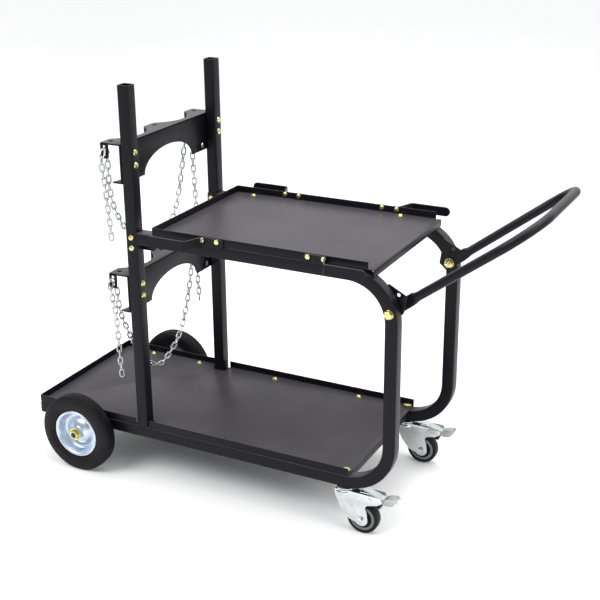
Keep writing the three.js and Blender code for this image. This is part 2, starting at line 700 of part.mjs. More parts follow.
function handlePlate() {
  const body = plateXZ(outline(HANDLE_PLATE), -INNER_FACE + GAP, -INNER_FACE + GAP + PLATE);
  const hole = (radius, at) => rod("y", radius, -INNER_FACE - 5, -INNER_FACE + 10, at);
  return cut(body, hole(PIVOT_RADIUS + GAP, PIVOT), hole(BOLT_HOLE, HANDLE_LOCK));
}

const PIVOT_NUT_FACE = -INNER_FACE + GAP + PLATE + GAP;

function pivotBolt() {
  const face = -HALF_WIDTH - GAP;
  return join(
    rod("y", PIVOT_HEAD_RADIUS, face - PIVOT_HEAD_HEIGHT, face, PIVOT, 6),
    rod("y", PIVOT_RADIUS, face - 1, PIVOT_NUT_FACE + PIVOT_NUT_HEIGHT + 3, PIVOT),
  );
}

function pivotNut() {
  return cut(
    rod("y", PIVOT_HEAD_RADIUS, PIVOT_NUT_FACE, PIVOT_NUT_FACE + PIVOT_NUT_HEIGHT, PIVOT, 6),
    rod("y", PIVOT_RADIUS + GAP, PIVOT_NUT_FACE - 5, PIVOT_NUT_FACE + 20, PIVOT));
}

// ---------------------------------------------------------------- bottle chains

const CHAIN_RADIUS = 4.2;
const CHAIN_SIDES = 6;

/** Each chain hangs over both outer slots, with a loop between them and two free ends. */
const CHAIN_ROUTES = {
  upper: [
    [-197, 626], [-200, 675], [-204, 715], [-207, 752], [-213, 788], [-216, 815],
    [-211, 838], [-202, 847], [-193, 838], [-192, 797], [-191, 754], [-180, 708],
    [-160, 670], [-136, 636], [-104, 603], [-66, 575], [-22, 562], [30, 573], [75, 612],
    [107, 670], [128, 735], [145, 795], [156, 836], [165, 846], [173.5, 837], [176, 800],
    [179, 740], [183, 670], [186, 602],
  ],
  lower: [
    [-190, 264], [-193, 305], [-196, 361], [-198, 420], [-203, 455], [-211, 488],
    [-212.5, 512], [-203.5, 524.5], [-193, 513], [-188, 490], [-186, 462], [-179, 430],
    [-162, 391], [-143, 352], [-118, 310], [-80, 262], [-22, 230], [38, 248], [82, 284],
    [113, 334], [138, 400], [152, 460], [156, 514], [165, 524], [173.5, 515], [176, 480],
    [180, 415], [184, 346],
  ],
};

function chain(route) {
  const curve = new THREE.CatmullRomCurve3(route.map(([y, z]) => vec(SLOT_X, y, z)));
  const count = 48;
  const rings = Array.from({ length: count + 1 }, (_, i) => {
    const middle = curve.getPointAt(i / count);
    const along = curve.getTangentAt(i / count);
    const normal = along.clone().cross(vec(1, 0, 0)).normalize();
    return Array.from({ length: CHAIN_SIDES }, (_ring, k) => {
      const angle = ((k + 0.5) / CHAIN_SIDES) * 2 * Math.PI;
      return middle.clone()
        .addScaledVector(vec(1, 0, 0), CHAIN_RADIUS * Math.cos(angle))
        .addScaledVector(normal, CHAIN_RADIUS * Math.sin(angle));
    });
  });
  return skin(rings);
}

// ---------------------------------------------------------------- assembly

addPair("side_frame", sideFrame(), BLACK_COAT);
addPair("rear_post", rearPost(), BLACK_COAT);
add("lower_tray", lowerTray(), BLACK_COAT);
add("upper_tray", upperTray(), BLACK_COAT);

for (const [tier, top] of Object.entries(BRACKET_TOPS)) {
  add(`bottle_bracket_${tier}`, bottleBracket(top), BLACK_COAT);
  BRACKET_BOLT_DROPS.forEach((drop, i) => {
    const at = { y: -TUBE_Y, z: top - drop };
    const bolt = boltAndNut("x", WEB_REAR - GAP, POST_FRONT + GAP, 3, at);
    addPair(`bracket_bolt_${tier}_${i + 1}`, bolt, YELLOW_ZINC);
  });
  add(`bottle_chain_${tier}`, chain(CHAIN_ROUTES[tier]), ZINC);
}

RAIL_BOLT_HEIGHTS.forEach((z, i) => {
  const innerFace = -INNER_FACE + GAP + PLATE + GAP;
  const bolt = boltAndNut("y", -HALF_WIDTH - GAP, innerFace, 3, { x: POST_MID, z });
  addPair(`rail_bolt_${i + 1}`, bolt, YELLOW_ZINC);
});

addPair("cable_hook_rear", cableHook(HOOK_JOG_X.rear, -1), BLACK_COAT);
addPair("cable_hook_front", cableHook(HOOK_JOG_X.front, 1), BLACK_COAT);

add("rear_axle", rod("y", AXLE_RADIUS, -AXLE_END, AXLE_END, AXLE, 24), DARK_STEEL);
addPair("axle_bracket", axleBracket(), BLACK_COAT);
addPair("rear_tyre", turned(tyreProfile(), { ...AXLE, y: 0 }, 40), RUBBER);
addPair("rear_rim", turned(rimProfile(), { ...AXLE, y: 0 }, 30), ZINC);
addPair("axle_nut", axleNut(), YELLOW_ZINC);

addPair("caster_stem", casterStem(), YELLOW_ZINC);
addPair("caster_nut", casterNut(), YELLOW_ZINC);
addPair("caster_fork", casterFork(), ZINC);
addPair("caster_axle", casterAxle(), ZINC);
addPair("caster_core", casterCore(), GREY_PLASTIC);
addPair("caster_tread", casterTread(), RUBBER);
addPair("brake_pedal", brakePedal(), ZINC);

add("handle_tube", handleTube(), BLACK_COAT);
addPair("handle_plate", handlePlate(), BLACK_COAT);
addPair("pivot_bolt", pivotBolt(), YELLOW_ZINC);
addPair("pivot_nut", pivotNut(), YELLOW_ZINC);

export default cart;
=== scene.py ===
"""A two-shelf welding cart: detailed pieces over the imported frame, with studio light and camera.

Lengths are millimetres in the cart's own measure: x from the rear edge of the lower tray,
y across the cart with the near side negative, z up from the floor.  at() turns them into
the frame's metres.
"""
import math

import bmesh
import bpy
from mathutils import Matrix, Vector


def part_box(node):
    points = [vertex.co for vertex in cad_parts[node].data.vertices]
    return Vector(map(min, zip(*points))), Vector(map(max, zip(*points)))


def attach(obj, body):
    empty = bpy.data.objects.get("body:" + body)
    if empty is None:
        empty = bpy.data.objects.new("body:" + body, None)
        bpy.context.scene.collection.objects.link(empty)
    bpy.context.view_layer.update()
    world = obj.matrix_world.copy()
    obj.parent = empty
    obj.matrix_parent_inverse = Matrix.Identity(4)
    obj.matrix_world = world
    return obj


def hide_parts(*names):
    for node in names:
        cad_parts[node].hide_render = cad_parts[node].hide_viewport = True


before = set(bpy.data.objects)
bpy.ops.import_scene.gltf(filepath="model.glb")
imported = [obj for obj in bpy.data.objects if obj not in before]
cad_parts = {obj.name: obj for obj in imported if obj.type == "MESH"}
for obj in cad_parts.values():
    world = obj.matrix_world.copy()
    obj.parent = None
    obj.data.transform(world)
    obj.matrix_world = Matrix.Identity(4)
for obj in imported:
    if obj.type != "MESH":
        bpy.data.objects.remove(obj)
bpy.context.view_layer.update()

MM = 0.001
REAR_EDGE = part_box("lower_tray")[0][0]

HALF_WIDTH = 203
TUBE = 30
TUBE_WALL = 2
TUBE_CORNER = 3.2
BORE_CORNER = 1.6
TUBE_Y = HALF_WIDTH - TUBE / 2
INNER_FACE = HALF_WIDTH - TUBE
RAIL_BOTTOM = 113
RAIL_TOP = RAIL_BOTTOM + TUBE
FRAME_FRONT = 1004
FRAME_TOP = 655
BEND = 105
POST_MID = 322
POST_FRONT = POST_MID + TUBE / 2
POST_TOP = 1003
RAIL_BOLT_HEIGHTS = (642, 616)
END_LUG = [(308, 605), (364, 605), (370, 611), (370, 654), (308, 654)]

SHEET = 2
TRAY_LIP = 19
TRAY_BASES = {"lower": 143.6, "upper": 655.3}
TRAY_SCREWS = {"lower": (98, 250, 491, 741), "upper": (437, 847)}

PLATE = 4
BRACKET_TOPS = {"upper": 865.3, "lower": 542.6}
BRACKET_BOLT_DROPS = (18.8, 49)
WEB_REAR = 302.7
WEB_HEIGHT = 95
ARCH_HALF = 108
ARCH_RISE = 52
WEB_HOLE = {"y": 158, "above_bottom": 12.5, "radius": 7.5}
SEAT_RADIUS = 82
SEAT_HALF = 70.5
EAR_REAR = 250
EAR_INNER = 163
EAR_CORNER = 4
MIDDLE_EAR = 22
EAR_HOLE = {"x": 268, "radius": 5.2}
GUSSET_DEPTH = 23
CHAIN_X = 260.5
CHAIN_SLOT = {"drop": 19, "half": 8.5, "radius": 4.5}

HOOK_HEIGHT = 23
HOOK_THICK = 4
HOOK_Z = 661.5
HOOK_BOLT_Z = 667
HOOK_GAP = 2.3
HOOK_JOG = 46
HOOK_SLANT = 18
HOOK_BEND = 7
HOOK_REAR_LENGTH = 75
HOOK_ARM = 100
HOOKS = {"rear": (502, -1, (522, 561)), "front": (851, 1, (831, 792))}

SIDES = {"near": -1, "far": 1}
WHEEL_X = 145
WHEEL_R = 102.5
TYRE_OUTER = 253
TYRE_INNER = 215
HUB_FACE = 249.8
AXLE_R = 8
SADDLE_HALF = 30
CASTER_X = 879
CASTER_TRAIL = 46
CASTER_R = 39.6
CHEEK_Y = 16.3
PEDAL_REACH = 66
PEDAL_Z = 96
PIVOT = (984, 562)
HANDLE_PLATE = [(958, 558), (982, 537), (1005, 556), (1015, 596), (968, 621)]
HANDLE_LOCK = (993, 598.5)


def at(x, y, z):
    """A place in the frame's metres from the cart's own millimetres."""
    return Vector((REAR_EDGE + x * MM, y * MM, z * MM))


# ------------------------------------------------------------------ materials

def new_material(name):
    material = bpy.data.materials.new(name)
    material.use_nodes = True
    nodes = material.node_tree.nodes
    return material, nodes, material.node_tree.links, nodes["Principled BSDF"]


def noise(nodes, links, scale, detail=4.0, rough=0.5, stretch=(1, 1, 1)):
    """A noise texture in object space, stretched along an axis where asked."""
    coordinates = nodes.new("ShaderNodeTexCoord")
    mapping = nodes.new("ShaderNodeMapping")
    mapping.inputs["Scale"].default_value = stretch
    texture = nodes.new("ShaderNodeTexNoise")
    texture.inputs["Scale"].default_value = scale
    texture.inputs["Detail"].default_value = detail
    texture.inputs["Roughness"].default_value = rough
    links.new(coordinates.outputs["Object"], mapping.inputs["Vector"])
    links.new(mapping.outputs["Vector"], texture.inputs["Vector"])
    return texture.outputs["Fac"]


def ramp(nodes, links, source, stops):
    """Maps a value onto colours; each stop is (position, (r, g, b))."""
    node = nodes.new("ShaderNodeValToRGB")
    while len(node.color_ramp.elements) < len(stops):
        node.color_ramp.elements.new(0.5)
    for element, (position, colour) in zip(node.color_ramp.elements, stops):
        element.position = position
        element.color = (*colour, 1)
    links.new(source, node.inputs["Fac"])
    return node.outputs["Color"]


def spread(nodes, links, source, low, high):
    """Maps 0.3..0.7 of a noise onto low..high."""
    node = nodes.new("ShaderNodeMapRange")
    node.inputs["From Min"].default_value = 0.3
    node.inputs["From Max"].default_value = 0.7
    node.inputs["To Min"].default_value = low
    node.inputs["To Max"].default_value = high
    links.new(source, node.inputs["Value"])
    return node.outputs["Result"]


def bump(nodes, links, shader, source, strength, distance):
    node = nodes.new("ShaderNodeBump")
    node.inputs["Strength"].default_value = strength
    node.inputs["Distance"].default_value = distance
    links.new(source, node.inputs["Height"])
    links.new(node.outputs["Normal"], shader.inputs["Normal"])


def powder_coat(name, dark, lit_top_colour, rough):
    """Satin black powder coat: fine orange peel, with painted light that makes faces looking up paler.
    """
    material, nodes, links, shader = new_material(name)
    surface = nodes.new("ShaderNodeNewGeometry")
    split = nodes.new("ShaderNodeSeparateXYZ")
    links.new(surface.outputs["Normal"], split.inputs["Vector"])
    # Painted highlight: upward faces get a paler base colour, set by the normal's height plus a random
    # cloud.
    top_highlight = nodes.new("ShaderNodeMath")
    top_highlight.operation = "MULTIPLY_ADD"
    cloud = spread(nodes, links, noise(nodes, links, 6, 3), -0.12, 0.12)
    links.new(split.outputs["Z"], top_highlight.inputs[0])
    top_highlight.inputs[1].default_value = 0.9
    links.new(cloud, top_highlight.inputs[2])
    links.new(ramp(nodes, links, top_highlight.outputs["Value"], [(0.35, dark), (0.95, lit_top_colour)]),
              shader.inputs["Base Color"])
    gloss = noise(nodes, links, 260, 3)
    links.new(spread(nodes, links, gloss, rough - 0.04, rough + 0.05), shader.inputs["Roughness"])
    shader.inputs["Specular IOR Level"].default_value = 0.15
    bump(nodes, links, shader, noise(nodes, links, 1500, 2), 0.12, 0.0004)
    return material


def plated(name, stops, rough, streak=(1, 1, 1), relief=0.05):
    """Plated steel: cloudy tint, fine rolling marks and a faint spangle."""
    material, nodes, links, shader = new_material(name)
    shader.inputs["Metallic"].default_value = 1.0
    cloud = noise(nodes, links, 60, 5, 0.6, streak)
    links.new(ramp(nodes, links, cloud, stops), shader.inputs["Base Color"])
    fine = noise(nodes, links, 420, 4, 0.6, streak)
    links.new(spread(nodes, links, fine, rough - 0.07, rough + 0.09), shader.inputs["Roughness"])
    bump(nodes, links, shader, fine, relief, 0.0003)
    return material


def rubber(name, dark, light, rough, relief=0.25, sheen=0.14):
    """Moulded rubber with a dusty bloom and a fine skin."""
    material, nodes, links, shader = new_material(name)
    cloud = noise(nodes, links, 28, 5)
    links.new(ramp(nodes, links, cloud, [(0.3, dark), (0.72, light)]), shader.inputs["Base Color"])
    fine = noise(nodes, links, 700, 3)
    links.new(spread(nodes, links, fine, rough - 0.06, rough + 0.08), shader.inputs["Roughness"])
    shader.inputs["Specular IOR Level"].default_value = sheen
    bump(nodes, links, shader, fine, relief, 0.0003)
    return material


# The second colour is painted light: the paler tone given to faces that look up.
COAT = powder_coat("black_powder_coat", (0.0045, 0.0042, 0.0075), (0.055, 0.051, 0.058), 0.36)
ZINC = plated("bright_zinc", [(0.3, (0.56, 0.59, 0.60)), (0.7, (0.70, 0.73, 0.73))], 0.2)
RIM_ZINC = plated("blue_zinc", [(0.3, (0.44, 0.52, 0.62)), (0.7, (0.66, 0.73, 0.80))], 0.34)
# Painted shade: a dark copy of the rim zinc, laid on the rims' inboard faces.
RIM_SHADE = plated("shaded_zinc", [(0.3, (0.03, 0.034, 0.05)), (0.7, (0.07, 0.078, 0.10))], 0.45)
CHAIN_ZINC = plated("chain_zinc", [(0.3, (0.34, 0.36, 0.36)), (0.7, (0.58, 0.60, 0.59))], 0.22)
GOLD = plated("yellow_zinc", [(0.3, (0.52, 0.45, 0.16)), (0.7, (0.76, 0.72, 0.36))], 0.24)
PEDAL_ZINC = plated("pedal_zinc", [(0.3, (0.34, 0.36, 0.37)), (0.7, (0.50, 0.52, 0.53))], 0.34)
DARK_STEEL = plated("dark_steel", [(0.3, (0.03, 0.03, 0.033)), (0.7, (0.07, 0.068, 0.066))], 0.42)
TYRE = rubber("tyre_rubber", (0.004, 0.004, 0.005), (0.009, 0.0085, 0.0095), 0.5)
TREAD = rubber("caster_tread", (0.006, 0.006, 0.0065), (0.011, 0.0105, 0.0115), 0.42, 0.15)
CORE = rubber("caster_core_plastic", (0.010, 0.010, 0.011), (0.017, 0.016, 0.017), 0.45, 0.1)
RING = rubber("caster_ring_plastic", (0.16, 0.16, 0.17), (0.23, 0.23, 0.24), 0.5, 0.1)


# ------------------------------------------------------------------ mesh helpers

class Shell:
    """Corners and faces in the cart's millimetres, gathered into one object."""

    def __init__(self):
        self.corners = []
        self.faces = []

    def add(self, corners, faces):
        base = len(self.corners)
        self.corners.extend(corners)
        self.faces.extend(tuple(base + i for i in face) for face in faces)

    def skin(self, rings, closed=False, caps=True):
        """Joins rings of equal count, with flat ends unless they close or stay open."""
        count = len(rings[0])
        base = len(self.corners)
        for ring in rings:
            self.corners.extend(ring)
        spans = len(rings) if closed else len(rings) - 1
        for i in range(spans):
            low = base + i * count
            high = base + ((i + 1) % len(rings)) * count
            for j in range(count):
                k = (j + 1) % count
                self.faces.append((low + j, low + k, high + k, high + j))
        if caps and not closed:
            last = base + (len(rings) - 1) * count
            self.faces.append(tuple(range(base + count - 1, base - 1, -1)))
            self.faces.append(tuple(range(last, last + count)))

    def block(self, x0, x1, y0, y1, z0, z1):
        low = [Vector((x, y, z0)) for x, y in ((x0, y0), (x1, y0), (x1, y1), (x0, y1))]
        self.skin([low, [corner + Vector((0, 0, z1 - z0)) for corner in low]])

    def stack(self, origin, direction, rings, sides=20, turn=0.0):
        """Round or hex stock along a direction; rings are (distance, radius) pairs."""
        axis = Vector(direction).normalized()
        across = axis.orthogonal().normalized()
        other = axis.cross(across)
        angles = [2 * math.pi * (k + turn) / sides for k in range(sides)]
        self.skin([
            [Vector(origin) + axis * height
             + (across * math.cos(a) + other * math.sin(a)) * radius for a in angles]
            for height, radius in rings])

    def turned(self, centre, profile, sides=96):
        """A closed (radius, y) section turned about the y axis through a centre."""
        rings = []
        for k in range(sides):
            a = 2 * math.pi * k / sides
            rings.append([
                Vector(centre) + Vector((r * math.cos(a), y, r * math.sin(a)))
                for r, y in profile])
        self.skin(rings, closed=True)

    def swept(self, path, section, across, bore=None):
        """A section of (side, across) points along a path; bore is its inner section."""
        across = Vector(across)
        outer, inner = [], []
        for i, point in enumerate(path):
            ahead = path[min(i + 1, len(path) - 1)] - path[max(i - 1, 0)]
            side = ahead.normalized().cross(across).normalized()
            outer.append([point + side * a + across * b for a, b in section])
            if bore:
                inner.append([point + side * a + across * b for a, b in bore])
        if not bore:
            self.skin(outer)
            return
        count = len(section)
        first = len(self.corners)
        self.skin(outer, caps=False)
        second = len(self.corners)
        self.skin([ring[::-1] for ring in inner], caps=False)
        for start in (0, (len(path) - 1) * count):
            for j in range(count):
                k = (j + 1) % count
                ring = (first + start + j, first + start + k,
                        second + start + count - 1 - k, second + start + count - 1 - j)
                self.faces.append(ring[::-1] if start == 0 else ring)

    def plate(self, outline, thickness, origin, u, v, holes=(), edge=0.5):
        """A flat plate with holes and softened edges, centred on origin's plane."""
        curve = bpy.data.curves.new("plate", "CURVE")
        curve.dimensions = "2D"
        curve.fill_mode = "BOTH"
        curve.extrude = thickness / 2 - edge
        curve.bevel_depth = edge
        curve.bevel_resolution = 1
        curve.offset = -edge
        for loop in (outline, *holes):
            spline = curve.splines.new("POLY")
            spline.points.add(len(loop) - 1)
            for point, (a, b) in zip(spline.points, loop):
                point.co = (a, b, 0, 1)
            spline.use_cyclic_u = True
        thing = bpy.data.objects.new("plate", curve)
        bpy.context.scene.collection.objects.link(thing)
        mesh = bpy.data.meshes.new_from_object(thing.evaluated_get(
            bpy.context.evaluated_depsgraph_get()))
        u, v = Vector(u), Vector(v)
        w = u.cross(v)
        self.add(
            [Vector(origin) + u * p.co.x + v * p.co.y + w * p.co.z for p in mesh.vertices],
            [tuple(face.vertices) for face in mesh.polygons])
        bpy.data.objects.remove(thing)
        bpy.data.curves.remove(curve)
        bpy.data.meshes.remove(mesh)

    def make(self, name, material, body, nodes=(), edge=0.0, smooth=35):
        """Turns the shell into a piece that rides on a body."""
        mesh = bpy.data.meshes.new(name)
        mesh.from_pydata([at(*corner) for corner in self.corners], [], self.faces)
        clean = bmesh.new()
        clean.from_mesh(mesh)
        bmesh.ops.remove_doubles(clean, verts=clean.verts, dist=0.00001)
        bmesh.ops.recalc_face_normals(clean, faces=clean.faces)
        clean.to_mesh(mesh)
        clean.free()
        mesh.shade_smooth()
        mesh.set_sharp_from_angle(angle=math.radians(smooth))
        mesh.materials.append(material)
        piece = bpy.data.objects.new(name, mesh)
        bpy.context.scene.collection.objects.link(piece)
        if edge:
            soft = piece.modifiers.new("edge", "BEVEL")
            soft.width = edge * MM
            soft.segments = 2
            soft.limit_method = "ANGLE"
            soft.angle_limit = math.radians(40)
            soft.harden_normals = True
        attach(piece, body)
        if nodes:
            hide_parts(*nodes)
        return piece


def arc(cx, cy, radius, start, end, steps):
    """Points of an arc, in degrees, both ends included."""
    return [
        (cx + radius * math.cos(math.radians(start + (end - start) * i / steps)),
         cy + radius * math.sin(math.radians(start + (end - start) * i / steps)))
        for i in range(steps + 1)]


def circle(cx, cy, radius, steps=24):
    """Points of a full circle, the first not repeated."""
    return arc(cx, cy, radius, 0, 360 * (steps - 1) / steps, steps - 1)


def square(half, corner):
    """Rounded square section of a tube."""
    inner = half - corner
    points = []
    for turn, (sx, sy) in enumerate(((1, 1), (-1, 1), (-1, -1), (1, -1))):
        points += arc(sx * inner, sy * inner, corner, 90 * turn, 90 * turn + 90, 4)
    return points


def fillet(points, radius, steps=8):
    """Rounds the inner corners of an open path of vectors."""
    path = [points[0]]
    for before, corner, after in zip(points, points[1:], points[2:]):
        into = (corner - before).normalized()
        out = (after - corner).normalized()
        angle = into.angle(out)
        reach = radius * math.tan(angle / 2)
        start = corner - into * reach
        centre_way = (out - into).normalized()
        centre = corner + centre_way * (radius / math.cos(angle / 2))
        axis = into.cross(out).normalized()
        arm = start - centre
        for i in range(steps + 1):
            path.append(centre + Matrix.Rotation(angle * i / steps, 3, axis) @ arm)
    path.append(points[-1])
    return path


HEX_TURN = 0.5
M8 = {"head": 5.3, "radius": 7.5, "shank": 4.0, "nut": 6.5, "washer": 9.0}


def hex_head(shell, origin, direction, height=M8["head"], radius=M8["radius"]):
    """A hex head or nut with a chamfered top and a washer face below."""
    chamfer = radius * 0.12
    shell.stack(origin, direction, [
        (0, radius), (height - chamfer, radius), (height, radius - chamfer * 1.3)], 6, HEX_TURN)
    shell.stack(origin, direction, [
        (height - 0.1, radius * 0.72), (height + 0.25, radius * 0.66)], 20)


def dome_head(shell, origin, direction, radius=6.8, height=4.2):
    """The low round head of a coach bolt."""
    shell.stack(origin, direction, [
        (0, radius), (height * 0.22, radius), (height * 0.6, radius * 0.86),
        (height * 0.87, radius * 0.55), (height, radius * 0.12)], 24)


def washer(shell, origin, direction, radius=M8["washer"], thickness=1.4):
    shell.stack(origin, direction, [
        (0, radius - 0.4), (0.3, radius), (thickness - 0.3, radius), (thickness, radius - 0.4)], 28)


def stud_end(shell, origin, direction, length, radius=M8["shank"]):
    """Threaded end: one small ridge for each turn of the thread."""
    rings = [(0, radius * 0.9)]
    turns = max(2, int(length / 1.25))
    for i in range(turns):
        rings += [((i + 0.5) * length / turns, radius), ((i + 1) * length / turns, radius * 0.88)]
    rings.append((length + 0.4, radius * 0.7))
    shell.stack(origin, direction, rings, 18)


# ------------------------------------------------------------------ frame

def tube_path(points, radius):
    return fillet([Vector(p) for p in points], radius, 14)


def square_tube(shell, path):
    """The cart's square tube, with its bore, along a path."""
    half = TUBE / 2
    shell.swept(path, square(half, TUBE_CORNER), (0, 1, 0), square(half - TUBE_WALL, BORE_CORNER))


def side_frames():
    """Each side's lower rail, front upright and upper rail, with the upper rail's end lug."""
    for side, sign in SIDES.items():
        y = sign * TUBE_Y
        mid = TUBE / 2
        shell = Shell()
        path = tube_path([
            (1, y, RAIL_BOTTOM + mid), (FRAME_FRONT - mid, y, RAIL_BOTTOM + mid),
            (FRAME_FRONT - mid, y, FRAME_TOP - mid), (POST_FRONT + 0.3, y, FRAME_TOP - mid)], BEND)
        square_tube(shell, path)
        inner = sign * (INNER_FACE - 2.2)
        shell.plate(END_LUG, PLATE, (0, inner, 0), (1, 0, 0), (0, 0, 1))
        weld_bead(shell, [Vector((x, sign * (INNER_FACE - 0.6), FRAME_TOP - TUBE - 0.4))
                          for x in range(342, 369, 2)])
        shell.make(f"tube_frame_{side}", COAT, "cart_frame",
                   [f"side_frame_{side}"])


def weld_bead(shell, path, radius=2.0):
    """A row of overlapping weld ripples."""
    rings = []
    for i, point in enumerate(path):
        swell = radius * (1.0 + 0.16 * math.sin(i * 2.3))
        ring = [point + Vector((0, math.cos(a) * swell, math.sin(a) * swell))
                for a in (2 * math.pi * k / 10 for k in range(10))]
        rings.append(ring)
    shell.skin(rings)


def posts():
    """The tall rear posts, open at the top."""
    for side, sign in SIDES.items():
        shell = Shell()
        path = [Vector((POST_MID, sign * TUBE_Y, z)) for z in (RAIL_TOP + 0.3, 400, 700, POST_TOP)]
        square_tube(shell, path)
        shell.make(f"bottle_post_{side}", COAT, "cart_frame", [f"rear_post_{side}"])


# ------------------------------------------------------------------ trays

def tray(name, node, rear, front, lip_front, base, hem=0, notch=()):
    """A folded tray: floor, lips and front hem as one skin, thickened to sheet.

    The notch holds the x of its two ends, where each side is cut in to clear a post.
    """
    half = HALF_WIDTH - SHEET / 2
    middle = base + SHEET / 2
    side = [(rear, half)]
    if notch:
        depth = INNER_FACE - SHEET
        side += [(notch[0], half), (notch[0], depth), (notch[1], depth), (notch[1], half)]
    side.append((lip_front, half))
    if front > lip_front:
        side.append((front, half))
    outline = side + [(x, -y) for x, y in reversed(side)]
    work = bmesh.new()

    def fold(a, b, height):
        corners = [(*a, middle), (*b, middle), (*b, height), (*a, height)]
        work.faces.new([work.verts.new(at(*corner)) for corner in corners])

    work.faces.new([work.verts.new(at(x, y, middle)) for x, y in outline])
    for a, b in zip(outline, outline[1:] + outline[:1]):
        along_side = a[1] == b[1] and abs(a[1]) == half and max(a[0], b[0]) <= lip_front
        if along_side or a[0] == b[0] == rear:
            fold(a, b, base + TRAY_LIP)
        elif hem and a[0] == b[0] == front:
            fold(a, b, base - hem)
    bmesh.ops.remove_doubles(work, verts=work.verts, dist=0.00001)
    bmesh.ops.recalc_face_normals(work, faces=work.faces)
    mesh = bpy.data.meshes.new(name)
    work.to_mesh(mesh)
    work.free()
    mesh.materials.append(COAT)
    piece = bpy.data.objects.new(name, mesh)
    bpy.context.scene.collection.objects.link(piece)
    bend = piece.modifiers.new("fold", "BEVEL")
    bend.width = 2.2 * MM
    bend.segments = 4
    bend.limit_method = "ANGLE"
    bend.angle_limit = math.radians(40)
    sheet = piece.modifiers.new("sheet", "SOLIDIFY")
    sheet.thickness = SHEET * MM
    sheet.offset = 0
    soft = piece.modifiers.new("edge", "BEVEL")
    soft.width = 0.5 * MM
    soft.segments = 2
    soft.limit_method = "ANGLE"
    soft.angle_limit = math.radians(60)
    mesh.shade_smooth()
    mesh.set_sharp_from_angle(angle=math.radians(50))
    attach(piece, "cart_frame")
    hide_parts(node)


def front_hem(name, front, base, drop, half):
    """The folded hem hanging between the rails at the lower tray's front."""
    shell = Shell()
    face, middle = front - SHEET / 2, base + SHEET / 2
    path = fillet([Vector((front - 12, 0, middle)), Vector((face, 0, middle)),
                   Vector((face, 0, base - drop))], 2.5, 5)
    shell.swept(path, [(-1, -half), (1, -half), (1, half), (-1, half)], (0, 1, 0))
    shell.make(name, COAT, "cart_frame", edge=0.4)


# ------------------------------------------------------------------ bottle brackets

def bracket(tier, top):
    """Arched web, flange with two bottle seats, slotted chain tabs and two corner gussets."""
    bottom = top - WEB_HEIGHT
    shell = Shell()
    rear = WEB_REAR
    arch = [(ARCH_HALF * math.cos(math.radians(a)), bottom + ARCH_RISE * math.sin(math.radians(a)))
            for a in range(180, -1, -6)]
    web = [(-HALF_WIDTH, bottom), *arch, (HALF_WIDTH, bottom),
           (HALF_WIDTH, top - 1), (-HALF_WIDTH, top - 1)]
    holes = [circle(sign * WEB_HOLE["y"], bottom + WEB_HOLE["above_bottom"], WEB_HOLE["radius"])
             for sign in (-1, 1)]
    shell.plate(web, PLATE, (rear + PLATE / 2, 0, 0), (0, 1, 0), (0, 0, 1), holes)
    flange = [(rear + PLATE, -HALF_WIDTH), (rear + PLATE, HALF_WIDTH)]
    seat = math.degrees(math.asin(SEAT_HALF / SEAT_RADIUS))
    seat_x = EAR_REAR - SEAT_RADIUS * math.cos(math.radians(seat))
    corner_x = EAR_REAR + EAR_CORNER
    for edge, low in ((HALF_WIDTH, EAR_INNER), (MIDDLE_EAR, -MIDDLE_EAR), (-EAR_INNER, -HALF_WIDTH)):
        flange += arc(corner_x, edge - EAR_CORNER, EAR_CORNER, 90, 180, 3)
        flange += arc(corner_x, low + EAR_CORNER, EAR_CORNER, 180, 270, 3)
        if low > -HALF_WIDTH:
            flange += arc(seat_x, low - SEAT_HALF, SEAT_RADIUS, seat - 3, 3 - seat, 16)
    outer_ear = (HALF_WIDTH + EAR_INNER) / 2
    ear_holes = [circle(EAR_HOLE["x"], y, EAR_HOLE["radius"]) for y in (-outer_ear, 0, outer_ear)]
    shell.plate(flange, PLATE, (0, 0, top - PLATE / 2), (1, 0, 0), (0, 1, 0), ear_holes)
    slot_z, slot_half, slot_radius = top - CHAIN_SLOT["drop"], CHAIN_SLOT["half"], CHAIN_SLOT["radius"]
    slot = arc(CHAIN_X, slot_z + slot_half, slot_radius, 0, 180, 8)
    slot += arc(CHAIN_X, slot_z - slot_half, slot_radius, 180, 360, 8)
    for edge in (-HALF_WIDTH, -MIDDLE_EAR, EAR_INNER):
        tab = [(EAR_REAR, top - 1), *arc(EAR_REAR + 5, top - 33, 5, 180, 270, 4),
               *arc(EAR_REAR + 16, top - 33, 5, 270, 360, 4), (EAR_REAR + 21, top - 1)]
        shell.plate(tab, PLATE, (0, edge + PLATE / 2, 0), (1, 0, 0), (0, 0, 1), [slot])
    for sign in (-1, 1):
        gusset = [(rear + 1, sign * ARCH_HALF), (rear + 1, sign * HALF_WIDTH),
                  (rear - GUSSET_DEPTH, sign * HALF_WIDTH)]
        shell.plate(gusset[::sign], PLATE, (0, 0, bottom + PLATE / 2), (1, 0, 0), (0, 1, 0))
    shell.make(f"bottle_rest_{tier}", COAT, "cart_frame", [f"bottle_bracket_{tier}"])


def bracket_bolts(tier, top):
    """Coach bolts through the posts and the web."""
    for i, drop in enumerate(BRACKET_BOLT_DROPS):
        for side, sign in SIDES.items():
            z, y = top - drop, sign * TUBE_Y
            shell = Shell()
            dome_head(shell, (POST_FRONT, y, z), (1, 0, 0), 7.6, 4.6)
            hex_head(shell, (WEB_REAR, y, z), (-1, 0, 0), 5.3)
            shell.make(f"post_bolt_{tier}_{i + 1}_{side}", GOLD, "cart_frame",
                       [f"bracket_bolt_{tier}_{i + 1}_{side}"], smooth=30)


